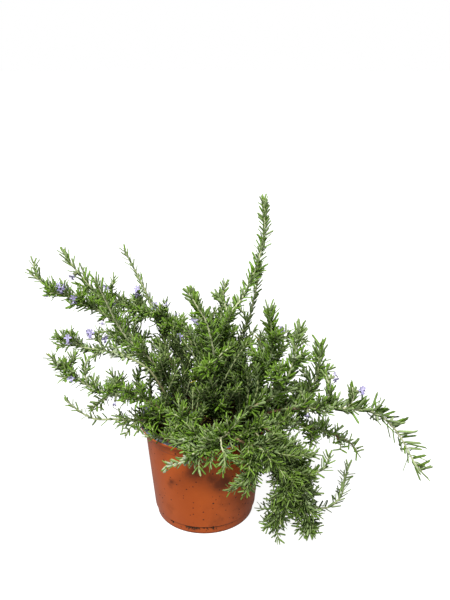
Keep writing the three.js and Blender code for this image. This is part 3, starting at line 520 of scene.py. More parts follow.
class Path:
    """A smooth curve through points, measured along its length"""

    def __init__(self, points):
        inner = np.array([tuple(p) for p in points], float)
        self.spans = len(inner) - 1
        self.knots = np.vstack((2 * inner[0] - inner[1], inner, 2 * inner[-1] - inner[-2]))
        self.shares = np.linspace(0, 1, ARC_DIVISIONS + 1)
        steps = np.linalg.norm(np.diff(self.place(self.shares), axis=0), axis=1)
        self.lengths = np.concatenate(([0], np.cumsum(steps)))
        self.length = float(self.lengths[-1])

    def place(self, shares):
        spot = np.clip(shares, 0, 1) * self.spans
        first = np.minimum(spot.astype(int), self.spans - 1)
        w = (spot - first)[:, None]
        before, start, end, after = (self.knots[first + k] for k in range(4))
        leaving, arriving = (end - before) / 2, (after - start) / 2
        square = 3 * (end - start) - 2 * leaving - arriving
        cube = 2 * (start - end) + leaving + arriving
        return start + leaving * w + square * w**2 + cube * w**3

    def at(self, distances):
        return self.place(np.interp(distances, self.lengths, self.shares))

    def direction(self, distances):
        shares = np.interp(distances, self.lengths, self.shares)
        run = self.place(shares + 1e-4) - self.place(shares - 1e-4)
        return run / np.linalg.norm(run, axis=1)[:, None]

    def spot(self, share):
        distance = np.array([share * self.length])
        return Vector(self.at(distance)[0]), Vector(self.direction(distance)[0])


def spaced(points, step):
    path = Path(points)
    count = max(2, round(path.length / step))
    return [Vector(p) for p in path.at(np.linspace(0, path.length, count + 1))]


def grow(stem):
    """A stem and its side shoots, before they are bent clear"""
    foot = (*stem.foot, ROOT_TOP)
    points = spaced([foot, *stem.path], BEND_STEP)
    branches = [Branch(points, stem.radius)]
    for share, run in stem.shoots:
        seat, direction = Path(points).spot(share)
        tip = seat + Vector(run)
        middle = seat.lerp(tip, SHOOT_BEND) + SHOOT_BOW * (tip - seat).length * direction
        branches.append(Branch(spaced([seat, middle, tip], BEND_STEP / 2), SHOOT_RADIUS, share))
    return Plant(stem, branches)


def held(value, low=0, high=1):
    return max(low, min(high, value))


def closest(a, b, c, d):
    """The shortest gap between straight pieces a-b and c-d, and where on each it is"""
    u, v, w = b - a, d - c, a - c
    uu, uv, vv, uw, vw = u.dot(u), u.dot(v), v.dot(v), u.dot(w), v.dot(w)
    det = uu * vv - uv * uv
    s = held((uv * vw - vv * uw) / det) if det > 1e-9 else 0.5
    t = held((uv * s + vw) / vv)
    s = held((uv * t - uw) / uu)
    return s, t, (a + s * u) - (c + t * v)


LIP_MIDDLE = POT_HEIGHT - LIP_THICKNESS / 2
POT_BARS = [
    ((BODY_FOOT_RADIUS - WALL, 0), (BODY_TOP_RADIUS, LIP_MIDDLE)),
    ((LIP_RADIUS - LIP_WIDTH, LIP_MIDDLE), (LIP_RADIUS - WALL, LIP_MIDDLE)),
]


def pot_push(point, distance):
    """The move that takes a point a distance off the pot's wall and lip, or None where it is clear"""
    r = math.hypot(point.x, point.y)
    for (r0, z0), (r1, z1) in POT_BARS:
        run, rise = r1 - r0, z1 - z0
        t = held(((r - r0) * run + (point.z - z0) * rise) / (run**2 + rise**2))
        dr, dz = r - r0 - t * run, point.z - z0 - t * rise
        away = math.hypot(dr, dz)
        lack = WALL + distance - away
        if lack > 0:
            return Vector((point.x / r * dr, point.y / r * dr, dz)) * (lack / away)
    return None


def near_pairs(plants):
    """Pairs of straight pieces of different plants that may come too close"""
    rows = [
        (p, b, i)
        for p, plant in enumerate(plants)
        for b, branch in enumerate(plant.branches)
        for i in range(1, len(branch.points))
    ]
    ends = np.array([plants[p].branches[b].points[i - 1 : i + 1] for p, b, i in rows])
    low, high = ends.min(axis=1), ends.max(axis=1)
    reach = 4 * STEM_GAP + 2 * max(plant.stem.radius for plant in plants)
    near = np.all(low[:, None] < high[None] + reach, axis=2)
    near &= near.T
    whose = np.array([p for p, _, _ in rows])
    near &= whose[:, None] < whose[None]
    pairs = [(rows[m], rows[n]) for m, n in zip(*np.nonzero(near))]
    return sorted(pairs, key=lambda pair: [row[k] for k in range(3) for row in pair])


def push(branch, i, move):
    """The first point of a stem or shoot is its seat, and stays"""
    if i > 0:
        branch.points[i] += move


def push_apart(one, i, other, j):
    s, t, gap = closest(*one.points[i - 1 : i + 1], *other.points[j - 1 : j + 1])
    lack = one.radius + other.radius + STEM_GAP - gap.length
    if lack <= 0:
        return
    gap *= 0.5 * lack / gap.length
    push(one, i - 1, gap * (1 - s))
    push(one, i, gap * s)
    push(other, j - 1, gap * (t - 1))
    push(other, j, gap * -t)


def keep_off(branch):
    """Keeps a branch off the pot and the floor"""
    points = branch.points
    for i in range(1, len(points)):
        for part in (0.25, 0.5, 0.75, 1):
            away = pot_push(points[i - 1].lerp(points[i], part), branch.radius + STEM_GAP)
            if away:
                push(branch, i, away)
                push(branch, i - 1, away)
        points[i].z = max(points[i].z, branch.radius + FLOOR_GAP)


def bend_clear(plants):
    """Bends stems and shoots clear of each other, of the pot and of the floor, a little each round"""
    for _ in range(BEND_ROUNDS):
        for (p, b, i), (q, c, j) in near_pairs(plants):
            push_apart(plants[p].branches[b], i, plants[q].branches[c], j)
        for plant in plants:
            for branch in plant.branches:
                keep_off(branch)
            path = Path(plant.branches[0].points)
            for shoot in plant.branches[1:]:
                shift = path.spot(shoot.share)[0] - shoot.points[0]
                for point in shoot.points:
                    point += shift


@functools.cache
def grown_plants():
    plants = [grow(stem) for stem in STEMS]
    bend_clear(plants)
    return plants


def turned(first, second, angle):
    """A direction turned towards another that is square to it"""
    return math.cos(angle) * first + math.sin(angle) * second


def turned_off(wish, axis, share=1):
    """A unit vector from a wish less its run along an axis, or less a share of it"""
    return (wish - share * wish.dot(axis) * axis).normalized()


def seat_head(plant, share, blooms, towards, shoot=0):
    """A head faces its wish, turned off its branch's own direction"""
    branch = plant.branches[shoot]
    root, direction = Path(branch.points).spot(share)
    axis = turned_off(Vector(towards), direction, HEAD_TURN)
    seat = root + (branch.radius + CALYX_LENGTH + FIT_GAP) * axis
    return Head(root, seat, axis, blooms)


def heads_of(plant):
    return [seat_head(plant, *flower) for flower in plant.stem.flowers]


def bloom_directions(head):
    if head.blooms == 1:
        return [head.axis]
    side = Vector((1, 0, 0)).cross(head.axis).normalized()
    other = head.axis.cross(side)
    outward = [turned(side, other, i * math.tau / head.blooms) for i in range(head.blooms)]
    return [turned(head.axis, out, math.radians(HEAD_SPREAD)) for out in outward]


# Models: each is shaped once in Blender and taken as rows of numbers, ready to be copied


def select_only(*objects):
    """Leaves edit mode, and selects these objects alone, the first of them active"""
    if bpy.context.mode != "OBJECT":
        bpy.ops.object.mode_set(mode="OBJECT")
    bpy.ops.object.select_all(action="DESELECT")
    for obj in objects:
        obj.select_set(True)
    bpy.context.view_layer.objects.active = objects[0] if objects else None


def open_new(add, **settings):
    """Adds a primitive and opens it in edit mode, all selected"""
    select_only()
    add(**settings)
    bpy.ops.object.transform_apply(location=True, rotation=True, scale=True)
    bpy.ops.object.mode_set(mode="EDIT")
    bpy.ops.mesh.select_mode(type="VERT")
    bpy.ops.mesh.select_all(action="SELECT")
    return bpy.context.object


def open_ring(sides, radius, **settings):
    return open_new(bpy.ops.mesh.primitive_circle_add, vertices=sides, radius=radius, **settings)


def choose(kind, test):
    """Selects the open mesh's verts, edges or faces whose points pass a test"""
    bpy.ops.mesh.select_mode(type=kind.removesuffix("s").upper())
    bpy.ops.mesh.select_all(action="DESELECT")
    obj = bpy.context.edit_object
    mesh = bmesh.from_edit_mesh(obj.data)
    for item in getattr(mesh, kind):
        verts = [item] if kind == "verts" else item.verts
        item.select_set(test(*(vert.co for vert in verts)))
    mesh.select_flush_mode()
    bmesh.update_edit_mesh(obj.data)


def shift(x=0, y=0, z=0):
    bpy.ops.transform.translate(value=(x, y, z))


def extrude(x=0, y=0, z=0):
    bpy.ops.mesh.extrude_region_move(TRANSFORM_OT_translate={"value": (x, y, z)})


def stretch(x, y, z, about=(0, 0, 0)):
    bpy.ops.transform.resize(value=(x, y, z), center_override=about)


def turn_up(profile):
    """Extrudes the chosen ring through a profile's radii and heights"""
    radius, height = profile[0]
    for wider, higher in profile[1:]:
        extrude(z=higher - height)
        stretch(wider / radius, wider / radius, 1, (0, 0, higher))
        radius, height = wider, higher


def draw_to_point():
    bpy.ops.mesh.merge(type="CENTER")


def fill(test):
    """Fills the ring of points that pass a test"""
    choose("verts", test)
    bpy.ops.mesh.edge_face_add()


def face_outwards(obj):
    bpy.ops.mesh.select_all(action="SELECT")
    bpy.ops.mesh.normals_make_consistent(inside=False)
    select_only(obj)


def smooth(obj, angle):
    """Shades an object smooth, with edges sharper than an angle kept"""
    select_only(obj)
    bpy.ops.object.shade_smooth_by_angle(angle=math.radians(angle))


def close_piece(obj, angle=180):
    """Ends the shaping of an open mesh"""
    face_outwards(obj)
    smooth(obj, angle)


def apply_modifier(obj, kind, **settings):
    select_only(obj)
    modifier = obj.modifiers.new(kind.lower(), kind)
    for key, value in settings.items():
        setattr(modifier, key, value)
    bpy.ops.object.modifier_apply(modifier=modifier.name)


STORED = {float: np.float32, int: np.int32}


def read(rows, key, width=1, kind=float):
    values = np.empty(len(rows) * width, STORED[kind])
    rows.foreach_get(key, values)
    return values.astype(kind).reshape(-1, width) if width > 1 else values.astype(kind)


def write(rows, key, values, kind=float):
    rows.foreach_set(key, values.astype(STORED[kind]).ravel())


class Model:
    """A mesh as rows of numbers: its points, faces, UV corners, finishes and point values"""

    def __init__(self, obj, **values):
        mesh = obj.data
        self.points = read(mesh.vertices, "co", 3)
        self.corners = read(mesh.loops, "vertex_index", kind=int)
        self.sizes = read(mesh.polygons, "loop_total", kind=int)
        self.finishes = read(mesh.polygons, "material_index", kind=int)
        self.uvs = np.zeros((len(self.corners), 2))
        if mesh.uv_layers.get("leaf"):
            self.uvs = read(mesh.uv_layers["leaf"].data, "uv", 2)
        self.values = values
        bpy.data.objects.remove(obj)
        bpy.data.meshes.remove(mesh)


class Gathering:
    """Copies of models, gathered into the one mesh of a finished piece"""

    VALUES = ("tone", "age")

    def __init__(self):
        self.points, self.corners, self.sizes, self.finishes, self.uvs = [], [], [], [], []
        self.values = {key: [] for key in self.VALUES}
        self.count = 0

    def add(self, model, places, axes=None, sizes=None, bows=None, finish=0, **values):
        """Copies a model to places, along axes given as rows, each copy sized and bowed"""
        copies, each = len(places), len(model.points)
        points = np.repeat(model.points[None], copies, axis=0)
        if sizes is not None:
            points *= np.reshape(sizes, (copies, 1, -1))
        if bows is not None:
            points[:, :, 2] += np.reshape(bows, (copies, 1)) * points[:, :, 1] ** 2
        if axes is not None:
            points = points @ np.array(axes, float)
        points += np.reshape(places, (copies, 1, 3))
        firsts = self.count + each * np.arange(copies)
        self.points.append(points.reshape(-1, 3))
        self.corners.append((model.corners[None] + firsts[:, None]).ravel())
        self.sizes.append(np.tile(model.sizes, copies))
        self.finishes.append(np.tile(model.finishes + finish, copies))
        self.uvs.append(np.tile(model.uvs, (copies, 1)))
        for key in self.VALUES:
            own = model.values.get(key, np.zeros(each))
            given = np.broadcast_to(values.get(key, 0), copies)
            self.values[key].append(np.add.outer(given, own).ravel())
        self.count += copies * each

    def finish(self, name, materials, slot, nodes=(), angle=180):
        """Makes the piece, in metres, riding the plant and standing for its solids"""
        mesh = bpy.data.meshes.new(name)
        corners, sizes = np.concatenate(self.corners), np.concatenate(self.sizes)
        mesh.vertices.add(self.count)
        mesh.loops.add(len(corners))
        mesh.polygons.add(len(sizes))
        write(mesh.vertices, "co", np.concatenate(self.points) * MM)
        write(mesh.loops, "vertex_index", corners, int)
        write(mesh.polygons, "loop_start", np.cumsum(sizes) - sizes, int)
        write(mesh.polygons, "material_index", np.concatenate(self.finishes), int)
        write(mesh.uv_layers.new(name="leaf").data, "uv", np.concatenate(self.uvs))
        for key in self.VALUES:
            data = mesh.attributes.new(key, "FLOAT", "POINT").data
            write(data, "value", np.concatenate(self.values[key]))
        mesh.update(calc_edges=True)
        mesh.validate()
        obj = bpy.data.objects.new(name, mesh)
        bpy.context.scene.collection.objects.link(obj)
        for material in materials:
            mesh.materials.append(material)
        smooth(obj, angle)
        settle(obj, slot, *nodes)


def settle(obj, slot, *nodes):
    """The piece rides the plant and stands for its solids; its slot is not used"""
    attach(obj, "root")
    if nodes:
        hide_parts(*nodes)


@functools.cache
def leaf_model():
    """A needle leaf: domed over a hollow underside, with its rims rolled down, blunt at the tip"""
    obj = open_ring(5, 1, rotation=(math.radians(90), math.radians(180), 0))
    stretch(LEAF_HALF, 1, LEAF_RISE)
    choose("verts", lambda co: abs(co.x) > 0.9 * LEAF_HALF)
    shift(z=-RIM_DROP)
    choose("verts", lambda co: co.z < -0.9 * LEAF_RISE)
    shift(z=0.95 * LEAF_RISE)
    bpy.ops.mesh.select_all(action="SELECT")
    width = LEAF_RINGS[0][1]
    stretch(width, 1, width)
    for (start, before), (end, after) in zip(LEAF_RINGS, LEAF_RINGS[1:]):
        extrude(y=end - start)
        stretch(after / before, 1, after / before, (0, end, 0))
    extrude(y=LEAF_LENGTH - LEAF_RINGS[-1][0])
    draw_to_point()
    fill(lambda co: co.y < 0.1)
    close_piece(obj)
    unwrap_leaf(obj.data)
    return Model(obj)


def unwrap_leaf(mesh):
    """Lays the leaf's top over the map's left half and its underside over the right half"""
    corners = mesh.uv_layers.new(name="leaf").data
    ends = [end for end, _ in LEAF_RINGS] + [LEAF_LENGTH]
    widths = [width for _, width in LEAF_RINGS] + [0.3]
    for face in mesh.polygons:
        side = 0.25 if face.normal.z > 0 else 0.75
        for loop in face.loop_indices:
            co = mesh.vertices[mesh.loops[loop].vertex_index].co
            half = LEAF_HALF * np.interp(co.y, ends, widths)
            corners[loop].uv = side + 0.24 * held(co.x / half, -1, 1), co.y / LEAF_LENGTH


@functools.cache
def bud_model():
    """A closed flower bud: a plump drop in the cup of its calyx"""
    obj = open_ring(7, 0.35)
    turn_up([(0.35, 0), (0.75, 0.7), (0.95, 1.7), (0.85, 2.6), (0.45, 3.3)])
    extrude(z=0.3)
    draw_to_point()
    fill(lambda co: co.z < 0.1)
    close_piece(obj)
    return Model(obj)


@functools.cache
def calyx_model():
    """A calyx: a ribbed bell with two lips of teeth, one unit long up to its rim"""
    obj = open_ring(10, 0.55)
    turn_up([(0.55, 0), (0.8, 0.12), (1.15, 0.4), (1.4, 0.75), (1.75, 1)])
    choose("verts", lambda co: co.z > 0.9 and abs(co.y) > 0.9)
    shift(z=0.16)
    choose("verts", lambda co: co.z > 0.9 and abs(co.y) < 0.9)
    stretch(0.92, 1, 1, (0, 0, 1))
    choose("verts", lambda co: co.z > 0.85)
    turn_up([(1.6, 1), (1.25, 0.8), (0.7, 0.45)])
    draw_to_point()
    fill(lambda co: co.z < 0.05)
    close_piece(obj)
    return Model(obj)


def draw_lobe(low, high, moves):
    """Draws a petal out of the rim's edges between two angles, in steps of an outward run, a rise
    and a change of width"""
    middle = math.radians((low + high) / 2)
    out = Vector((math.cos(middle), math.sin(middle), 0))
    across = Vector((-out.y, out.x, 0))
    span = math.radians((high - low) / 2)

    def on_rim(start, end):
        co = (start + end) / 2
        near = abs(math.atan2(across.dot(co), out.dot(co))) < span
        return near and abs(co.z - BLOOM_THROAT) < 0.01 and co.xy.length > BLOOM_RIM * 0.9

    choose("edges", on_rim)
    spot = out * BLOOM_RIM + Vector((0, 0, BLOOM_THROAT))
    for run, rise, width in moves:
        move = out * run + Vector((0, 0, rise))
        extrude(*move)
        spot += move
        bpy.ops.transform.resize(
            value=(width, 1, 1), orient_type="GLOBAL", center_override=spot,
            orient_matrix=(across, out, (0, 0, 1)), orient_matrix_type="GLOBAL",
        )


@functools.cache
def bloom_model():
    """A two-lipped flower: a slim tube, two raised upper lobes, a lobe to each side and a broad
    spoon-shaped lower lip"""
    obj = open_ring(BLOOM_SIDES, 0.75)
    turn_up([(0.75, 0), (0.85, 1.6), (1.2, 3.2), (BLOOM_RIM, BLOOM_THROAT)])
    for low in (32, 92):
        draw_lobe(low, low + 56, [(0.6, 1.2, 1.4), (1.1, 1.3, 1.15), (0.8, 0.5, 0.65)])
    for low in (-28, 152):
        draw_lobe(low, low + 56, [(1.3, 0.6, 1.4), (1.4, 0.1, 1.15), (0.6, -0.3, 0.6)])
    draw_lobe(212, 328, [(1.1, 0.5, 1), (1.6, -0.2, 1.35), (1.4, -0.8, 0.95), (0.5, -0.4, 0.5)])
    choose("verts", lambda co: co.y < -3.6 and abs(co.x) < 0.9)
    shift(z=-0.7)
    face_outwards(obj)
    apply_modifier(obj, "SOLIDIFY", thickness=0.22, offset=0)
    apply_modifier(obj, "SUBSURF", levels=1, render_levels=1)
    reach = np.hypot(*read(obj.data.vertices, "co", 3)[:, :2].T) / BLOOM_REACH
    return Model(obj, age=reach)


@functools.cache
def stamen_model():
    """An arched stamen with a dark anther at its end"""
    obj = open_ring(5, 0.16, location=(0, 0.4, 3))
    arch = math.radians(-105)
    bpy.ops.mesh.spin(steps=6, angle=arch, center=(0, -3.8, 3.4), axis=(1, 0, 0), dupli=False)
    for face in bmesh.from_edit_mesh(obj.data).faces:
        middle = face.calc_center_median()
        face.material_index = int(middle.y < -2.2 and middle.z > 5)
    close_piece(obj)
    return Model(obj)


@functools.cache
def crumb_models():
    """Three crumbs of soil, each knocked out of round in its own way"""
    models = []
    for seed in (3, 5, 8):
        obj = open_new(bpy.ops.mesh.primitive_ico_sphere_add, subdivisions=2, radius=1)
        bpy.ops.transform.vertex_random(offset=0.28, seed=seed)
        stretch(1, 0.85, 0.7)
        close_piece(obj, 25)
        models.append(Model(obj))
    return models


@functools.cache
def chip_model():
    """A splinter of bark or fibre from the soil"""
    obj = open_new(bpy.ops.mesh.primitive_cube_add, size=1)
    stretch(0.5, 2.4, 0.35)
    bpy.ops.mesh.subdivide(number_cuts=1)
    bpy.ops.transform.vertex_random(offset=0.12, seed=4)
    choose("verts", lambda co: abs(co.y) > 0.9)
    stretch(0.5, 1, 0.5)
    close_piece(obj, 30)
    return Model(obj)


def tube_model(branches):
    """Round bark along branches, each given as its points and their radii, ages and tones"""
    curve = bpy.data.curves.new("bark", "CURVE")
    curve.dimensions = "3D"
    curve.bevel_depth = 1
    curve.bevel_resolution = 1
    for points, radii, _, _ in branches:
        spline = curve.splines.new("POLY")
        spline.points.add(len(points) - 1)
        spline.points.foreach_set("co", np.column_stack((points, np.ones(len(points)))).ravel())
        spline.points.foreach_set("radius", radii)
    obj = bpy.data.objects.new("bark", curve)
    bpy.context.scene.collection.objects.link(obj)
    select_only(obj)
    bpy.ops.object.convert(target="MESH")
    obj = bpy.context.object
    bpy.ops.object.mode_set(mode="EDIT")
    bpy.ops.mesh.select_all(action="SELECT")
    bpy.ops.mesh.fill_holes(sides=0)
    close_piece(obj)
    ages, tones = (np.concatenate([branch[k] for branch in branches]) for k in (2, 3))
    around = len(obj.data.vertices) // len(ages)
    return Model(obj, age=np.repeat(ages, around), tone=np.repeat(tones, around))


# Leaves, twigs and buds along the grown stems


def side_of(direction, turn):
    """A unit vector square to a direction, turned about it"""
    guide = Vector((0, 1, 0)) if abs(direction.z) > 0.8 else UPWARD
    first = direction.cross(guide).normalized()
    return turned(first, direction.cross(first), turn)


def soil_height(radius):
    share = min(1, radius / BODY_TOP_RADIUS)
    return SOIL_MIDDLE_HEIGHT + (SOIL_EDGE_HEIGHT - SOIL_MIDDLE_HEIGHT) * share


def in_the_way(point, clearance):
    """Whether a point is in the pot's wall, in the soil or under the floor"""
    radius = math.hypot(point.x, point.y)
    if point.z < FLOOR_GAP:
        return True
    if radius < BODY_TOP_RADIUS and point.z < soil_height(radius):
        return True
    return pot_push(point, clearance) is not None


def sprout(plant, rng):
    """Seeded twigs on a stem: short ones along it and its shoots, and longer inner ones that rise from
    its lower part and close the plant's middle"""
    twigs, inner = [], []
    stem, main = plant.stem, plant.branches[0]
    shoots = [shoot for shoot in plant.branches[1:] if shoot.share < stem.reach[1] - 0.1]
    longest, shortening = TWIG_SHORTENING
    for _ in range(stem.twigs):
        share = rng.uniform(*stem.reach)
        length = stem.spread * rng.uniform(*TWIG_LENGTHS) * (longest - shortening * share)
        if shoots and rng.random() < TWIGS_ON_SHOOTS:
            shoot = shoots[rng.integers(len(shoots))]
            share, length = rng.uniform(*SHOOT_TWIG), SHOOT_TWIG_SIZE * length
            add_twig(twigs, shoot, share, length, SHOOT_TWIG_TILT, stem.lift, rng)
        else:
            add_twig(twigs, main, share, length, rng.uniform(*TWIG_TILTS), stem.lift, rng)
    for _ in range(stem.inner):
        share, length = rng.uniform(*INNER_SHARES), rng.uniform(*INNER_LENGTHS)
        add_twig(inner, main, share, length, INNER_TILT, INNER_LIFT, rng)
    inner = [twig for twig in inner if twig.points[-1].xy.length < INNER_REACH]
    return twigs, inner


def in_the_box(point):
    return all(CAD_LOW[k] / MM + TWIG_ROOM < point[k] < CAD_HIGH[k] / MM - TWIG_ROOM for k in range(3))


def add_twig(twigs, carrier, share, length, tilt, lift, rng):
    """A twig that leaves its carrier at a tilt and turns upwards, if it is clear of what stands there"""
    seat, direction = Path(carrier.points).spot(share)
    out = side_of(direction, rng.uniform(0, math.tau))
    heading = turned(direction, out, math.radians(tilt)) + lift * UPWARD
    tip = seat + length * heading.normalized()
    middle = seat.lerp(tip, 0.5) + TWIG_BOW * length * (direction - 0.5 * UPWARD)
    points = spaced([seat, middle, tip], BARK_STEP)
    if in_the_box(tip) and not any(in_the_way(point, TWIG_CLEARANCE) for point in points[1:]):
        twigs.append(Branch(points, TWIG_RADIUS, share))


class Leaves:
    """The leaves of a stem, each with its seat, axes, size, bow, tone and age"""

    def __init__(self, stem, rng):
        self.stem, self.rng, self.rows = stem, rng, []

    def add(self, seat, direction, turn, tilt, length, age, shade):
        """A leaf that leaves its seat at a tilt, kept over the floor, if it is clear of the pot"""
        stem, rng = self.stem, self.rng
        out = side_of(direction, turn)
        tilt = math.radians(tilt)
        heading = (turned(direction, out, tilt) + stem.rise * UPWARD).normalized()
        drop = (seat.z + heading.z * length - 1) / length
        if drop < 0:
            heading.z -= drop
            heading.normalize()
        root = seat + LEAF_SEAT * out
        if any(in_the_way(root + part * length * heading, LEAF_CLEARANCE) for part in (0.5, 0.8, 1)):
            return
        top = turned_off(turned(-out, direction, tilt) + 0.9 * UPWARD, heading)
        top = turned(top, heading.cross(top), rng.normal(0, LEAF_ROLL))
        width = stem.broad * min(1.05, 0.5 + length / 26) * rng.uniform(*LEAF_WIDTHS)
        bow = rng.normal(stem.curl, LEAF_BOW)
        if rng.random() < YELLOW_SHARE:
            tone = YELLOW_TONE
        else:
            # The stem's bright setting raises or lowers the tone, partly as the leaves' own green and partly
            # as painted light and painted shade; shade lowers it as painted shade
            tone = held(rng.random() + stem.bright - shade, *LEAF_TONES)
        size = (width, length / LEAF_LENGTH, width)
        self.rows.append((root, (heading.cross(top), heading, top), size, bow, tone, age))

    def clothe(self, branch, bare, start_age, sparse=(0, 0), size=1, shade=0):
        """Pairs of leaves along a branch, each pair turned a quarter from the last, with smaller
        leaves in their axils, closing up into a tuft at the tip; only small leaves where sparse"""
        stem, rng = self.stem, self.rng
        path = Path(branch.points)
        distance, turn = bare, rng.uniform(0, math.tau)
        stretch = min(YOUNG_STRETCH, 0.5 * path.length)
        while distance < path.length:
            share = distance / path.length
            seat, direction = path.spot(share)
            youth = held(1 - (path.length - distance) / stretch)
            age = start_age + (1 - start_age) * share**2
            tilt = stem.tilt + (TIP_TILT - stem.tilt) * youth**1.5
            length = size * stem.leaf * (1 - YOUNG_SMALLER * youth**4)
            axils = stem.axils * (1 - youth**2) + rng.random()
            if sparse[0] < share < sparse[1]:
                length, axils = SPARSE_LEAF * length, 0
            for side in (0, math.pi):
                around = turn + side + rng.normal(0, SIDE_WANDER)
                grown = length * rng.uniform(*LEAF_LENGTHS)
                lean = tilt + rng.normal(0, TILT_WANDER)
                self.add(seat, direction, around, lean, grown, age, shade)
                for _ in range(int(axils)):
                    lean = tilt * rng.uniform(*AXIL_TILTS)
                    aside = around + rng.choice((-1, 1)) * rng.uniform(*AXIL_TURNS)
                    small = grown * rng.uniform(*AXIL_SIZES)
                    self.add(seat, direction, aside, lean, small, age, shade)
            turn += math.pi / 2 + rng.normal(0, TURN_WANDER)
            distance += stem.gap * (1 - YOUNG_CLOSER * youth) * rng.uniform(*GAP_WANDER)

    def gather(self, gathering):
        roots, axes, sizes, bows, tones, ages = zip(*self.rows)
        gathering.add(leaf_model(), roots, axes, sizes, bows, tone=tones, age=ages)


def frame_along(axis, towards):
    """Axes for a copy whose length runs along an axis and whose top leans towards a direction"""
    up = turned_off(towards, axis)
    return up.cross(axis), up, axis


def bark_rows(branch, tip_radius, start_age, end_age, tone):
    """A branch's points for its bark, with their radii, ages and tones"""
    path = Path(branch.points)
    shares = np.linspace(0, 1, max(3, round(path.length / BARK_STEP)) + 1)
    radii = branch.radius + (tip_radius - branch.radius) * shares
    ages = start_age + (end_age - start_age) * shares
    return path.at(shares * path.length), radii, ages, np.full(len(shares), tone)


def trimmed(branch):
    """A branch that ends where the last leaves grow, a little short of their tips"""
    path = Path(branch.points)
    end = path.length - TIP_TRIM
    points = path.at(np.linspace(0, end, max(3, round(end / 10))))
    return Branch([Vector(p) for p in points], branch.radius, branch.share)


def make_leafy_stem(plant, index, materials):
    """Grows one stem with its bark, twigs, leaves, buds and calyxes as one piece"""
    stem = plant.stem
    rng = np.random.default_rng([SEED, index])
    main, *shoots = [trimmed(branch) for branch in plant.branches]
    twigs, inner = sprout(plant, rng)
    gathering = Gathering()

    rooted = Branch([Vector((*stem.foot, ROOT_BOTTOM)), *main.points], main.radius)
    rows = [bark_rows(rooted, STEM_TIP, 0, 1.3 - 0.8 * stem.wood, stem.pale)]
    rows += [bark_rows(shoot, SHOOT_TIP, 0.9 - stem.wood, 1, stem.pale) for shoot in shoots]
    rows += [bark_rows(twig, TWIG_TIP, 0.8, 1, 0.3 * stem.pale) for twig in (*twigs, *inner)]
    gathering.add(tube_model(rows), [(0, 0, 0)], finish=1)

    leaves = Leaves(stem, rng)
    leaves.clothe(main, stem.bare, 0, stem.sparse)
    for branch in (*shoots, *twigs):
        leaves.clothe(branch, BARE_SHOOT, 0.5, size=min(1, TWIG_LEAF / stem.leaf))
    for branch in inner:
        bare = BARE_INNER * Path(branch.points).length
        # Their leaves carry painted shade that darkens the plant's middle
        leaves.clothe(branch, bare, 0, size=INNER_LEAF / stem.leaf, shade=INNER_PAINTED_SHADE)
    leaves.gather(gathering)

    heads = heads_of(plant)
    if heads:
        axes = [frame_along(head.axis, UPWARD) for head in heads]
        sizes = [(1, 1, (head.seat - head.root).length - FIT_GAP) for head in heads]
        places = [head.root for head in heads]
        gathering.add(calyx_model(), places, axes, sizes, finish=2, tone=0.5)
    add_buds(gathering, plant, rng)
    gathering.finish(f"leafy_{stem.name}", materials, "foliage", [f"stem_{stem.name}"])


def add_buds(gathering, plant, rng):
    """Small clusters of closed buds in the leaf axils"""
    path = Path(plant.branches[0].points)
    rows = []
    for _ in range(plant.stem.buds):
        seat, direction = path.spot(rng.uniform(*plant.stem.budded))
        out = side_of(direction, rng.uniform(0, math.tau))
        for _ in range(BUDS_TOGETHER):
            axis = (out + 0.6 * direction + Vector(rng.normal(0, 0.55, 3))).normalized()
            if in_the_way(seat + 8 * axis, 2):
                continue
            size = rng.uniform(*BUD_SIZES)
            scale = (size, size, size * rng.uniform(*BUD_SIZES))
            rows.append((seat + BUD_SEAT * axis, frame_along(axis, UPWARD), scale, rng.random()))
    if rows:
        places, axes, sizes, tones = zip(*rows)
        gathering.add(bud_model(), places, axes, sizes, finish=3, tone=tones)


def make_blooms(head, number, materials):
    """One flower head: its blooms, with the small calyxes of a head of several"""
    rng = np.random.default_rng([SEED, 100, number])
    gathering = Gathering()
    several = head.blooms > 1
    heart = head.seat + (HEART_RADIUS if several else 0) * head.axis
    for axis in bloom_directions(head):
        guide = UPWARD if abs(axis.z) < 0.9 else Vector((0, 1, 0))
        axes = frame_along(axis, guide + Vector(rng.normal(0, 0.15, 3)))
        size, tone = [rng.uniform(*BLOOM_SIZES)], rng.random()
        gathering.add(bloom_model(), [heart], [axes], size, tone=tone)
        for lean in (-STAMEN_LEAN, STAMEN_LEAN):
            leant = frame_along(axis, axes[1] + lean * axes[0])
            gathering.add(stamen_model(), [heart], [leant], size, finish=1, tone=tone)
        if several:
            seat = heart - SMALL_CUP_SEAT * axis
            gathering.add(calyx_model(), [seat], [axes], [SMALL_CUP], finish=3, tone=tone)
    gathering.finish(f"blooms_{number:02}", materials, "flowers", [f"flower_head_{number:02}"])


# Finishes: every colour and texture is worked out by nodes


def light(*levels):
    """A colour given as the screen shows it, 0 to 255, as the light it stands for"""
    shares = [level / 255 for level in levels]
    return tuple(s / 12.92 if s <= 0.04045 else ((s + 0.055) / 1.055) ** 2.4 for s in shares)


class Value:
    """A socket in a finish; a sum written with it adds the Math nodes that work it out"""

    def __init__(self, finish, socket):
        self.finish, self.socket = finish, socket

    def __add__(self, other):
        return self.finish.math("ADD", self, other)

    def __mul__(self, other):
        return self.finish.math("MULTIPLY", self, other)

    def __sub__(self, other):
        return self.finish.math("SUBTRACT", self, other)

    def __rsub__(self, other):
        return self.finish.math("SUBTRACT", other, self)

    def __abs__(self):
        return self.finish.math("ABSOLUTE", self)

    __radd__, __rmul__ = __add__, __mul__


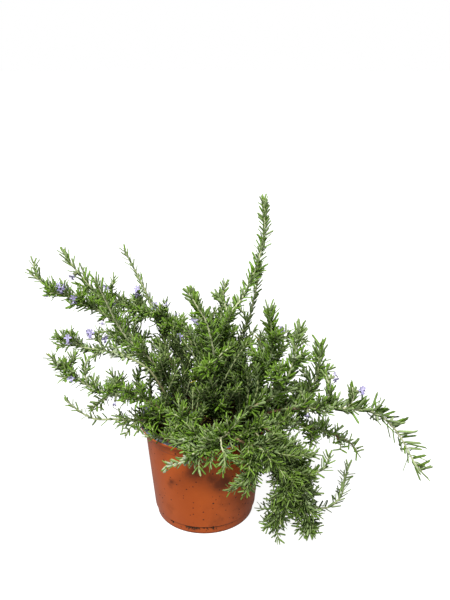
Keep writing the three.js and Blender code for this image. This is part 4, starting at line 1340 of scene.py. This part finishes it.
class Finish:
    """A material whose nodes are added one by one behind its shader"""

    def __init__(self, name, specular=0.3, **constants):
        self.material = bpy.data.materials.new(name)
        self.material.use_nodes = True
        self.tree = self.material.node_tree
        self.shader = self.tree.nodes["Principled BSDF"]
        self.place = self.node("TexCoord", out="Object")
        self.give(Specular_IOR_Level=specular, **constants)

    def give(self, **values):
        """Feeds sockets of the shader, and hands over the material"""
        for key, value in values.items():
            self.feed(self.shader.inputs[key.replace("_", " ")], value)
        return self.material

    def node(self, kind, settings=(), inputs=(), out=0):
        """Adds a node, sets it up, feeds its sockets with numbers, colours or values, and gives
        one of its outputs as a value"""
        node = self.tree.nodes.new("ShaderNode" + kind)
        for key, setting in dict(settings).items():
            setattr(node, key, setting)
        for key, value in dict(inputs).items():
            self.feed(node.inputs[key], value)
        return Value(self, node.outputs[out])

    def feed(self, socket, value):
        if isinstance(value, Value):
            self.tree.links.new(value.socket, socket)
        elif socket.type == "RGBA":
            socket.default_value = (*value, 1)
        else:
            socket.default_value = value

    def math(self, operation, *values):
        return self.node("Math", {"operation": operation}, enumerate(values))

    def step(self, value, low, high):
        """0 below low, 1 above high and a smooth rise between"""
        settings = {"interpolation_type": "SMOOTHSTEP"}
        return self.node("MapRange", settings, {0: value, 1: low, 2: high, 3: 0, 4: 1})

    def band(self, value, low, rise, fall, high):
        """1 between two edges, each a smooth step"""
        return self.step(value, low, rise) * (1 - self.step(value, fall, high))

    def mix(self, share, first, second):
        """Two colours, the second by a share"""
        return self.node("Mix", {"data_type": "RGBA"}, {0: share, 6: first, 7: second}, out=2)

    def noise(self, scale, detail=2, roughness=0.5, place=None):
        inputs = {"Vector": place or self.place, "Scale": scale, "Detail": detail}
        return self.node("TexNoise", (), {**inputs, "Roughness": roughness})

    def stretched(self, x, y, z):
        """The piece's own coordinates, scaled along each axis"""
        return self.node("Mapping", (), {"Vector": self.place, "Scale": (x, y, z)})

    def axis(self, letter, place=None):
        """One coordinate of a place, of the piece's own coordinates by default"""
        return self.node("SeparateXYZ", (), {0: place or self.place}, out=letter)

    def attribute(self, name):
        return self.node("Attribute", {"attribute_name": name}, out="Fac")

    def bump(self, height, distance, strength):
        inputs = {"Height": height, "Distance": distance, "Strength": strength}
        return self.node("Bump", (), inputs)

    def finish(self, colour, roughness, *relief):
        """Gives the shader its colour, its roughness and a relief of a height, distance and strength"""
        if relief:
            self.give(Normal=self.bump(*relief))
        return self.give(Base_Color=colour, Roughness=roughness)


def leaf_finish(look):
    """Satin green above with a sunk midrib and lime rims, felted grey-green below; the rims' lime is partly
    a painted highlight, and leaves set deep in tone carry painted shade
    """
    skin = Finish("needle_leaf", specular=0.36, Specular_Tint=(0.94, 1, 0.8))
    uv = skin.node("UVMap", {"uv_map": "leaf"})
    across, along = skin.axis("X", uv), skin.axis("Y", uv)
    under = skin.step(across, 0.499, 0.501)
    off_rib = abs(skin.math("FRACT", across * 2) - 0.5) * 2
    rib = 1 - skin.step(off_rib, 0.05, 0.22)
    rim = skin.step(off_rib, 0.72, 0.98)
    tone, age = skin.attribute("tone"), skin.attribute("age")
    mottle = skin.noise(420, 3)
    # The step from shade green to bright green follows tone and age: partly the leaves' own tone and darker
    # old leaves, partly painted shade on the inner twigs, near the stems' feet and on stems set deeper
    top = skin.mix(skin.step(tone + mottle * 0.3 + age * 0.45, 0.25, 1.4), look.dark, look.bright)
    top = skin.mix(skin.step(age, 0.5, 1) * 0.55, top, look.young)
    # The lime on the rims is partly a painted highlight; the midrib and the foot take the same lime
    for share in (rim * 0.5, rib * 0.3, (1 - skin.step(along, 0, 0.16)) * 0.6):
        top = skin.mix(share, top, look.rim)
    felt = skin.mix(rib * 0.5, look.under, look.bright)
    felt = skin.mix(mottle * 0.35, felt, look.bright)
    # Leaves set deep in tone take the top's green on their undersides too: painted shade
    felt = skin.mix((1 - skin.step(tone, -0.3, 0.5)) * 0.6, felt, top)
    yellow = skin.step(tone, 1.4, 1.6)
    colour = skin.mix(yellow * 0.85, skin.mix(under, top, felt), look.yellow)
    height = mottle * 0.3 - rib * (1 - under) * 0.5 + rib * under * 0.4
    return skin.finish(colour, 0.38 + under * 0.4, height, 0.0002, 0.5)


def bark_finish(look):
    """Brown flaking bark at the foot, cream-green and downy towards the tips"""
    bark = Finish("stem_bark", specular=0.25)
    age, pale = bark.attribute("age"), bark.attribute("tone")
    flakes = bark.noise(700, 4, 0.65, bark.stretched(1, 1, 0.25))
    grain = bark.noise(150, 3)
    wood = bark.mix(bark.step(flakes, 0.35, 0.65), look.wood_dark, look.wood)
    wood = bark.mix(bark.step(grain, 0.5, 0.7) * 0.4, wood, look.wood_grey)
    young = bark.mix(pale, look.stem_green, look.stem_pale)
    young = bark.mix(bark.step(grain, 0.4, 0.75) * 0.5, young, look.stem_green)
    green = bark.step(age + flakes * 0.3, 0.35, 0.8)
    return bark.finish(bark.mix(green, wood, young), 0.86 - green * 0.16, flakes, 0.0005, 0.7)


def calyx_finish(look):
    cup = Finish("calyx_green")
    tone = cup.noise(900, 3)
    colour = cup.mix(cup.step(tone, 0.45, 0.7), look.stem_green, look.calyx)
    return cup.finish(colour, 0.75 + tone * 0.1, tone, 0.0002, 0.6)


def bud_finish(look):
    bud = Finish("flower_bud")
    tone, mottle = bud.attribute("tone"), bud.noise(800)
    colour = bud.mix(bud.step(tone + mottle * 0.4, 0.5, 1.2), look.bud, look.under)
    return bud.finish(colour, 0.7 + mottle * 0.15, mottle, 0.0002, 0.4)


def petal_finish(look):
    """Thin violet petals, paler in the throat, with darker flecks on the lips"""
    petal = Finish("petal_violet", specular=0.25, Sheen_Weight=0.2)
    reach, tone = petal.attribute("age"), petal.attribute("tone")
    flecks = petal.noise(1500, 2, 0.6)
    veins = petal.noise(500, 3)
    colour = petal.mix(petal.step(tone + veins * 0.6, 0.3, 1.3), look.petal, look.petal_deep)
    colour = petal.mix((1 - petal.step(reach, 0.15, 0.6)) * 0.75, colour, look.throat)
    lips = petal.band(reach, 0.3, 0.45, 0.75, 0.9)
    colour = petal.mix(petal.step(flecks, 0.6, 0.66) * lips * 0.7, colour, look.petal_deep)
    return petal.finish(colour, 0.5 + veins * 0.2, veins, 0.0003, 0.5)


def thread_finish(name, scale, first, second, roughness, more):
    """The thread of a stamen or its anther, mottled in two colours"""
    thread = Finish(name)
    mottle = thread.noise(scale)
    return thread.finish(thread.mix(mottle, first, second), roughness + mottle * more)


def shell_finish(look):
    """Satin terracotta plastic: faint turning marks, damp smudges, a seam dark with soil and with painted
    shade under its step, and specks of soil
    """
    shell = Finish("terracotta_plastic", specular=0.22)
    cloud = shell.noise(14, 4, 0.55)
    grime = shell.noise(38, 5, 0.6)
    grit = shell.noise(640, 2, 0.6)
    side, height = shell.axis("X"), shell.axis("Z")

    smudge = shell.step(grime, 0.5, 0.68) * shell.step(cloud, 0.45, 0.65) * 0.5
    for angle, up, spread in SMUDGES:
        middle = Vector(around(wall_radius(up), math.radians(angle), up)) * MM
        place = {0: shell.place, 1: middle}
        away = shell.node("VectorMath", {"operation": "DISTANCE"}, place, out="Value")
        blot = 1 - shell.step(away + (grime - 0.5) * 0.03, 0.15 * spread * MM, spread * MM)
        smudge = shell.math("MAXIMUM", smudge, blot)

    cells = {"Vector": shell.place, "Scale": 240}
    spot = shell.node("TexVoronoi", (), cells, out="Distance")
    chance = shell.node("TexVoronoi", (), cells, out="Color")
    pick, size = (shell.node("SeparateColor", (), {0: chance}, out=k) for k in ("Red", "Green"))
    ragged = spot + (grit - 0.5) * 0.16 + size * 0.14
    speckled = shell.step(pick + shell.step(side, -0.05, 0.02) * 0.2, 0.88, 0.9)
    specks = (1 - shell.step(ragged, 0.25, 0.33)) * speckled

    # The seam under the foot's step is darkened: partly soil in it, partly painted shade of the step
    seam = shell.band(height, 0.0096, 0.0106, 0.0118, 0.0123)
    ridge = shell.band(height, 0.1184, 0.119, 0.1198, 0.1206)
    foot = 1 - shell.step(height + grime * 0.004, 0.0025, 0.0045)
    colour = shell.mix(shell.step(cloud, 0.35, 0.7), look.shell, look.shell_light)
    colour = shell.mix(shell.math("MAXIMUM", smudge, ridge * 0.5) * 0.9, colour, look.shell_dark)
    for share in (specks * 0.9, foot * 0.6, seam * shell.step(grime, 0.3, 0.5)):
        colour = shell.mix(share, colour, look.soil_dark)
    roughness = 0.38 + cloud * 0.14 + smudge * 0.25 + specks * 0.2
    turning = shell.noise(260, 2, 0.5, shell.stretched(0.02, 0.02, 1))
    relief = turning * 0.4 + grit * 0.25 + specks
    return shell.finish(colour, roughness, relief, 0.0002, 0.35)


def lining_finish(look):
    """Blue-grey painted sheen on the dark plastic inside the pot and on top of its lip, dusty with soil"""
    lining = Finish("pot_lining", specular=0.45)
    dust = lining.noise(60, 5, 0.65)
    # The lining colour is a painted sheen: light blue-grey in place of the dark plastic's reflection
    colour = lining.mix(lining.step(dust, 0.5, 0.75) * 0.4, look.lining, look.soil)
    return lining.finish(colour, 0.45 + dust * 0.3, lining.noise(500), 0.0003, 0.3)


def soil_finish(look):
    """Crumbly dark soil with fibres and orange-brown flecks"""
    soil = Finish("potting_soil", specular=0.2)
    lumps, grains = soil.noise(180, 5, 0.7), soil.noise(900, 3, 0.6)
    colour = soil.mix(soil.step(lumps, 0.4, 0.65), look.soil_dark, look.soil)
    colour = soil.mix(soil.step(grains, 0.62, 0.7), colour, look.chip)
    return soil.finish(colour, 0.85 + grains * 0.1, lumps + grains * 0.4, 0.002, 0.8)


def litter_finish(name, first, second):
    """Bark splinters or dry needles on the soil"""
    litter = Finish(name, specular=0.2)
    fibre = litter.noise(1100, 4, 0.6)
    share = litter.step(fibre + litter.attribute("tone") * 0.4, 0.4, 0.95)
    return litter.finish(litter.mix(share, first, second), 0.75 + fibre * 0.15, fibre, 0.0004, 0.6)


# The pot and its soil


def wall_radius(z):
    share = (z - FOOT_HEIGHT) / (RIDGE_HEIGHT - FOOT_HEIGHT)
    return BODY_FOOT_RADIUS + (BODY_TOP_RADIUS - RIDGE_STEP - BODY_FOOT_RADIUS) * share


def metres(profile):
    return [(radius * MM, height * MM) for radius, height in profile]


def pot_profile():
    """The pot's section from the foot's edge up over the lip and down inside to the floor"""
    lip_bottom = POT_HEIGHT - LIP_THICKNESS
    band = BODY_TOP_RADIUS + BAND_FLARE
    return metres([
        (FOOT_RADIUS, 0),
        (BODY_FOOT_RADIUS - FOOT_STEP, FOOT_HEIGHT - STEP_HEIGHT),
        (BODY_FOOT_RADIUS, FOOT_HEIGHT),
        (wall_radius(RIDGE_HEIGHT), RIDGE_HEIGHT),
        (BODY_TOP_RADIUS, RIDGE_HEIGHT + STEP_HEIGHT),
        (band, lip_bottom),
        (LIP_RADIUS, lip_bottom - LIP_SKIRT),
        (LIP_RADIUS, POT_HEIGHT),
        (LIP_RADIUS - LIP_WIDTH, POT_HEIGHT),
        (band - WALL, lip_bottom),
        (wall_radius(RIDGE_HEIGHT) - WALL, RIDGE_HEIGHT),
        (BODY_FOOT_RADIUS - FOOT_STEP - WALL, FOOT_HEIGHT),
        (FOOT_RADIUS - WALL, FLOOR_THICKNESS),
    ])


def round_rings(rings, radius, segments):
    """Rounds the edge loops that lie at given radii and heights, in millimetres"""
    def on_ring(*ends):
        spots = [(co.xy.length / MM, co.z / MM) for co in ends]
        return any(all(math.dist(spot, ring) < 0.05 for spot in spots) for ring in rings)

    choose("edges", on_ring)
    bpy.ops.mesh.bevel(offset=radius, segments=segments)


def shape_pot(sizes):
    """Turns up the pot from its foot ring, rounds its lip and foot, and cuts the drain holes"""
    profile = pot_profile()
    obj = open_ring(sizes.pot_sides, profile[0][0])
    turn_up(profile)
    bpy.ops.mesh.edge_face_add()
    fill(lambda co: co.z < 1e-6)
    bpy.ops.mesh.inset(thickness=HOLLOW_EDGE * MM)
    shift(z=FLOOR_HOLLOW * MM)
    lip = [
        (LIP_RADIUS, POT_HEIGHT),
        (LIP_RADIUS, POT_HEIGHT - LIP_THICKNESS - LIP_SKIRT),
        (LIP_RADIUS - LIP_WIDTH, POT_HEIGHT),
    ]
    foot = [
        (FOOT_RADIUS, 0), (BODY_FOOT_RADIUS, FOOT_HEIGHT), (BODY_TOP_RADIUS, RIDGE_HEIGHT + STEP_HEIGHT)
    ]
    round_rings(lip, sizes.lip_round, 3)
    round_rings(foot, FOOT_ROUND * MM, 2)
    close_piece(obj, 35)
    cut_drain_holes(obj)
    for face in obj.data.polygons:
        face.material_index = int(is_lining(face))
    obj.name = "terracotta_pot"
    return obj


def is_lining(face):
    """Whether a face of the pot is on top of its lip or inside it"""
    radius, height = face.center.xy.length / MM, face.center.z / MM
    outward = face.normal.dot(Vector((*face.center.xy, 0)).normalized())
    on_top = height > POT_HEIGHT - LINING_EDGE and radius < LIP_RADIUS - LINING_EDGE
    return on_top or height > LINING_FOOT and (outward < -0.2 or face.normal.z > 0.9)


def cut_drain_holes(pot):
    select_only()
    for i in range(DRAIN_HOLES):
        place = Vector(around(DRAIN_CIRCLE, (i + 0.5) * math.tau / DRAIN_HOLES, 0)) * MM
        bpy.ops.mesh.primitive_cylinder_add(
            vertices=32, radius=DRAIN_RADIUS * MM, depth=8 * FLOOR_THICKNESS * MM, location=place
        )
        cutter = bpy.context.object
        apply_modifier(pot, "BOOLEAN", operation="DIFFERENCE", object=cutter, solver="EXACT")
        bpy.data.objects.remove(cutter)


def shape_soil(sizes):
    """A block of soil that fills the pot, its top drawn in rings and raised in lumps"""
    top = wall_radius(SOIL_EDGE_HEIGHT) - WALL - FIT_GAP
    foot = FLOOR_THICKNESS + FIT_GAP
    profile = metres([
        (FOOT_RADIUS - WALL - FIT_GAP, foot),
        (BODY_FOOT_RADIUS - FOOT_STEP - WALL - FIT_GAP, FOOT_HEIGHT),
        (top, SOIL_EDGE_HEIGHT),
        *((r, soil_height(r)) for r in top * (1 - np.arange(1, SOIL_RINGS) / SOIL_RINGS)),
    ])
    obj = open_ring(SOIL_SIDES, profile[0][0], location=(0, 0, profile[0][1]))
    turn_up(profile)
    draw_to_point()
    fill(lambda co: co.z < (foot + 0.1) * MM)
    face_outwards(obj)
    heap = obj.vertex_groups.new(name="top")
    for vert in obj.data.vertices:
        if vert.co.z > (SOIL_EDGE_HEIGHT + 0.05) * MM:
            heap.add([vert.index], 1, "REPLACE")
    for size, share in SOIL_LUMPS:
        lumps = bpy.data.textures.new("soil lumps", "CLOUDS")
        lumps.noise_scale = size * MM
        apply_modifier(
            obj, "DISPLACE", texture=lumps, vertex_group="top", direction="Z",
            strength=2 * share * sizes.lump_height, mid_level=0.5,
        )
        bpy.data.textures.remove(lumps)
    smooth(obj, 35)
    obj.name = "soil_bed"
    return obj


def around(radii, turns, heights):
    """Places at radii and angles about the pot's axis, one or a row of them"""
    return np.stack((radii * np.cos(turns), radii * np.sin(turns), heights + 0 * turns), axis=-1)


def scatter(rng, count, reach, lift):
    """Seeded places a lift above the soil, in millimetres"""
    radii = reach * np.sqrt(rng.uniform(0, 1, count))
    turns = rng.uniform(0, math.tau, count)
    return around(radii, turns, np.array([soil_height(r) for r in radii]) + lift)


def turned_axes(rng, count, flat):
    """Axes for copies turned at random, or only about the vertical"""
    turns = rng.uniform(0, math.tau, count)
    tilts = np.zeros(count) if flat else rng.uniform(-0.9, 0.9, count)
    axes = []
    for turn, tilt in zip(turns, tilts):
        x = Vector((math.cos(turn), math.sin(turn), 0))
        y = turned(Vector((-x.y, x.x, 0)), UPWARD, tilt)
        axes.append((x, y, x.cross(y)))
    return axes


def strew(litter, model, rng, places, sizes, finish=0, flat=False, bow=0):
    """Copies a model to places, each copy turned, bowed and toned at random"""
    count = len(places)
    axes = turned_axes(rng, count, flat)
    bows = rng.normal(0, bow, count) if bow else None
    litter.add(model, places, axes, sizes, bows, finish, tone=rng.random(count))


def make_litter(sizes, materials):
    """Crumbs, bark splinters and dry needles that lie on the soil"""
    rng = np.random.default_rng([SEED, 200])
    litter = Gathering()
    count = sizes.crumbs // 3
    for model in crumb_models():
        grains = sizes.crumb_size / MM * rng.lognormal(*CRUMB_SIZES, count).clip(*CRUMB_RANGE)
        strew(litter, model, rng, scatter(rng, count, CRUMB_REACH, CRUMB_SINK * grains), grains)
    count = sizes.crumbs // 6
    places = scatter(rng, count, CHIP_REACH, CHIP_LIFT)
    widths, lengths = rng.uniform(*CHIP_WIDTHS, count), rng.uniform(*CHIP_LENGTHS, count)
    chips = np.column_stack((widths, lengths, np.ones(count)))
    strew(litter, chip_model(), rng, places, chips, finish=1)
    places = scatter(rng, count, NEEDLE_REACH, NEEDLE_LIFT)
    lengths = rng.uniform(*NEEDLE_LENGTHS, count)
    needles = [(NEEDLE_WIDTH, length, NEEDLE_WIDTH) for length in lengths]
    strew(litter, leaf_model(), rng, places, needles, finish=2, flat=True, bow=NEEDLE_BOW)
    litter.finish("soil_litter", materials, "soil", angle=30)


def make_foot_crumbs(materials):
    """Soil that has stuck under the seam over the foot of the pot, in clumps at the front"""
    rng = np.random.default_rng([SEED, 201])
    crumbs = Gathering()
    clumps = [*rng.normal(*SEAM_CLUMP, 9), *SEAM_SPOTS]
    for model in crumb_models():
        turns = rng.choice(clumps, SEAM_CRUMBS) + rng.normal(0, SEAM_WANDER, SEAM_CRUMBS)
        grains = rng.uniform(*SEAM_SIZES, SEAM_CRUMBS)
        radii = BODY_FOOT_RADIUS - FOOT_STEP + 0.2 * grains
        heights = FOOT_HEIGHT - STEP_HEIGHT - rng.exponential(SEAM_DROP, SEAM_CRUMBS).clip(0, 5)
        strew(crumbs, model, rng, around(radii, np.radians(turns), heights), grains, flat=True)
    crumbs.finish("foot_crumbs", materials, "soil", angle=30)


# What a user would change


def colour(name, description, *levels):
    return bpy.props.FloatVectorProperty(
        name=name, description=description, subtype="COLOR", size=3, min=0, max=1,
        default=light(*levels),
    )


def length(name, description, millimetres, most):
    return bpy.props.FloatProperty(
        name=name, description=description, unit="LENGTH", subtype="DISTANCE", precision=4,
        default=millimetres * MM, min=0, max=most * MM,
    )


class RosemaryColours(bpy.types.PropertyGroup):
    """Colours of the plant, its flowers, its pot and its soil"""

    # Leaf shade is also the painted shade of the inner and lower leaves
    dark: colour("Leaf shade", "Deepest green of the leaves' tops", 22, 46, 6)
    bright: colour("Leaf green", "Brightest green of the leaves' tops", 98, 138, 28)
    young: colour("Young leaf", "Green of the leaves near a tip", 116, 146, 56)
    # The leaf rim's lime is partly a painted highlight
    rim: colour("Leaf rim", "Lime green of a leaf's rim, midrib and foot", 164, 184, 98)
    under: colour("Leaf underside", "Grey-green felt under a leaf", 156, 172, 124)
    yellow: colour("Yellow leaf", "A leaf that has turned", 176, 164, 66)
    stem_green: colour("Green stem", "Greenest part of a young stem", 138, 152, 96)
    stem_pale: colour("Pale stem", "Down on a young stem", 205, 205, 172)
    wood: colour("Wood", "Bark of an old stem", 140, 106, 74)
    wood_dark: colour("Wood shade", "Cracks in the bark", 72, 50, 34)
    wood_grey: colour("Weathered wood", "Grey of the oldest bark", 150, 135, 115)
    calyx: colour("Calyx", "Green and violet cup of a flower", 112, 104, 96)
    bud: colour("Bud", "Closed flower bud", 160, 168, 142)
    petal: colour("Petal", "Pale violet of a flower", 168, 160, 202)
    petal_deep: colour("Petal shade", "Deeper violet of a flower", 124, 114, 168)
    throat: colour("Throat", "Palest part of a flower", 222, 218, 240)
    anther: colour("Anther", "End of a stamen", 86, 70, 130)
    shell: colour("Pot", "Terracotta of the pot's outside", 170, 75, 15)
    shell_light: colour("Pot light", "Paler clouds in the pot's terracotta", 182, 84, 22)
    shell_dark: colour("Pot smudge", "Damp smudges on the pot", 96, 44, 20)
    # Pot lining: a painted blue-grey sheen over the dark plastic
    lining: colour("Pot lining", "Blue-grey inside of the pot", 112, 116, 128)
    soil: colour("Soil", "Dry crumbs of soil", 74, 52, 36)
    soil_dark: colour("Soil shade", "Damp soil", 34, 24, 17)
    chip: colour("Bark chip", "Orange-brown flecks in the soil", 140, 88, 48)
    floor: colour("Floor", "Plain pale floor", 118, 118, 118)


class RosemarySizes(bpy.types.PropertyGroup):
    """Sizes and counts of the pot, the soil and the stage"""

    pot_sides: bpy.props.IntProperty(
        name="Pot sides", description="Sides of the round pot", default=144, min=24, max=256
    )
    lip_round: length("Lip rounding", "Radius of the lip's edges", 0.6, 1.2)
    lump_height: length("Soil lumps", "Height of the lumps in the soil", 2.4, 6)
    crumb_size: length("Crumb", "Half the width of a usual crumb", 1.5, 4)
    crumbs: bpy.props.IntProperty(
        name="Crumbs", description="Crumbs on the soil", default=270, min=0, max=2000
    )
    key_power: bpy.props.FloatProperty(
        name="Key light", description="Strength of the broad light at the upper left", default=5.5,
        min=0, max=20,
    )
    world_light: bpy.props.FloatProperty(
        name="Studio light", description="Light of the white surroundings", default=0.11, min=0, max=5
    )


class ROSEMARY_OT_pot(bpy.types.Operator):
    """Make the smooth terracotta pot with its rounded lip, stepped foot and drain holes"""

    bl_idname = "rosemary.pot"
    bl_label = "Pot"

    def execute(self, context):
        look = context.scene.rosemary_colours
        pot = shape_pot(context.scene.rosemary_sizes)
        pot.data.materials.append(shell_finish(look))
        pot.data.materials.append(lining_finish(look))
        settle(pot, "pot", "pot")
        return {"FINISHED"}


class ROSEMARY_OT_soil(bpy.types.Operator):
    """Make the lumpy soil with its crumbs, bark splinters and dry needles"""

    bl_idname = "rosemary.soil"
    bl_label = "Soil"

    def execute(self, context):
        sizes, look = context.scene.rosemary_sizes, context.scene.rosemary_colours
        earth = soil_finish(look)
        bed = shape_soil(sizes)
        bed.data.materials.append(earth)
        settle(bed, "soil", "soil")
        chip = litter_finish("bark_chip", look.chip, look.wood_dark)
        needle = litter_finish("dry_needle", look.wood, look.yellow)
        make_litter(sizes, [earth, chip, needle])
        make_foot_crumbs([earth])
        return {"FINISHED"}


class ROSEMARY_OT_stems(bpy.types.Operator):
    """Grow every stem with its bark, twigs, needle leaves, buds and calyxes"""

    bl_idname = "rosemary.stems"
    bl_label = "Leafy stems"

    def execute(self, context):
        look = context.scene.rosemary_colours
        materials = [leaf_finish(look), bark_finish(look), calyx_finish(look), bud_finish(look)]
        for index, plant in enumerate(grown_plants()):
            make_leafy_stem(plant, index, materials)
        return {"FINISHED"}


class ROSEMARY_OT_flowers(bpy.types.Operator):
    """Make every flower head with its two-lipped blooms and stamens"""

    bl_idname = "rosemary.flowers"
    bl_label = "Flowers"

    def execute(self, context):
        look = context.scene.rosemary_colours
        stamen = thread_finish("stamen_thread", 1200, look.petal, look.throat, 0.5, 0.1)
        anther = thread_finish("anther_dark", 1500, look.anther, look.petal_deep, 0.6, 0.2)
        materials = [petal_finish(look), stamen, anther, calyx_finish(look)]
        heads = [head for plant in grown_plants() for head in heads_of(plant)]
        for number, head in enumerate(heads, 1):
            make_blooms(head, number, materials)
        return {"FINISHED"}


class ROSEMARY_OT_stage(bpy.types.Operator):
    """Set the pale floor, the soft studio light and the camera at the photo's angle"""

    bl_idname = "rosemary.stage"
    bl_label = "Stage"

    def execute(self, context):
        sizes = context.scene.rosemary_sizes
        lay_floor(context.scene.rosemary_colours.floor)
        white_surroundings(sizes.world_light)
        soft_light("key", KEY_PLACE, KEY_WIDTH, sizes.key_power)
        place_camera()
        context.scene.view_settings.view_transform = "Standard"
        return {"FINISHED"}


def lay_floor(tone):
    select_only()
    bpy.ops.mesh.primitive_circle_add(vertices=64, radius=FLOOR_RADIUS, fill_type="NGON")
    floor = bpy.context.object
    floor.name = "pale_floor"
    paint = Finish("pale_floor", specular=0, Roughness=0.9, Emission_Strength=1)
    seen = paint.node("LightPath", out="Is Camera Ray")
    glow = paint.mix(seen, [FLOOR_GLOW] * 3, [FLOOR_SEEN] * 3)
    whiter = paint.mix(paint.noise(3) * 0.1, tone, (1, 1, 1))
    floor.data.materials.append(paint.give(Base_Color=whiter, Emission_Color=glow))


def white_surroundings(strength):
    world = bpy.data.worlds.new("studio")
    world.use_nodes = True
    nodes, links = world.node_tree.nodes, world.node_tree.links
    seen, lighting = nodes["Background"], nodes.new("ShaderNodeBackground")
    for background, level in ((seen, 1), (lighting, strength)):
        background.inputs["Color"].default_value = (1, 1, 1, 1)
        background.inputs["Strength"].default_value = level
    either = nodes.new("ShaderNodeMixShader")
    links.new(nodes.new("ShaderNodeLightPath").outputs["Is Camera Ray"], either.inputs["Fac"])
    links.new(lighting.outputs[0], either.inputs[1])
    links.new(seen.outputs[0], either.inputs[2])
    links.new(either.outputs[0], nodes["World Output"].inputs["Surface"])
    bpy.context.scene.world = world


def soft_light(name, place, width, power):
    """A broad far light that points at the pot, given by its place, its width in degrees and its power"""
    select_only()
    aim = (-Vector(place)).to_track_quat("-Z", "Y").to_euler()
    bpy.ops.object.light_add(type="SUN", location=place, rotation=aim)
    lamp = bpy.context.object
    lamp.name = f"{name}_light"
    lamp.data.angle = math.radians(width)
    lamp.data.energy = power


def place_camera():
    select_only()
    bpy.ops.object.camera_add(location=CAMERA_PLACE, rotation=(math.radians(CAMERA_TILT), 0, 0))
    camera = bpy.context.object
    camera.name = "photo_camera"
    camera.data.lens = CAMERA_LENS
    bpy.context.scene.camera = camera


class ROSEMARY_PT_panel(bpy.types.Panel):
    """Buttons for each part of the plant, over its sizes and colours"""

    bl_idname = "ROSEMARY_PT_panel"
    bl_label = "Potted Rosemary"
    bl_space_type = "VIEW_3D"
    bl_region_type = "UI"
    bl_category = "Rosemary"

    def draw(self, context):
        for part in PARTS:
            self.layout.operator(part.bl_idname)
        for group in (context.scene.rosemary_sizes, context.scene.rosemary_colours):
            box = self.layout.box()
            for key in type(group).__annotations__:
                box.prop(group, key)


PARTS = (
    ROSEMARY_OT_pot, ROSEMARY_OT_soil, ROSEMARY_OT_stems, ROSEMARY_OT_flowers, ROSEMARY_OT_stage
)
CLASSES = (RosemaryColours, RosemarySizes, *PARTS, ROSEMARY_PT_panel)


def register():
    for cls in CLASSES:
        bpy.utils.register_class(cls)
    bpy.types.Scene.rosemary_colours = bpy.props.PointerProperty(type=RosemaryColours)
    bpy.types.Scene.rosemary_sizes = bpy.props.PointerProperty(type=RosemarySizes)


def unregister():
    del bpy.types.Scene.rosemary_colours, bpy.types.Scene.rosemary_sizes
    for cls in reversed(CLASSES):
        bpy.utils.unregister_class(cls)


def main():
    register()
    bpy.ops.rosemary.pot()
    bpy.ops.rosemary.soil()
    bpy.ops.rosemary.stems()
    bpy.ops.rosemary.flowers()
    bpy.ops.rosemary.stage()
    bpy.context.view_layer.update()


if __name__ == "__main__":
    main()
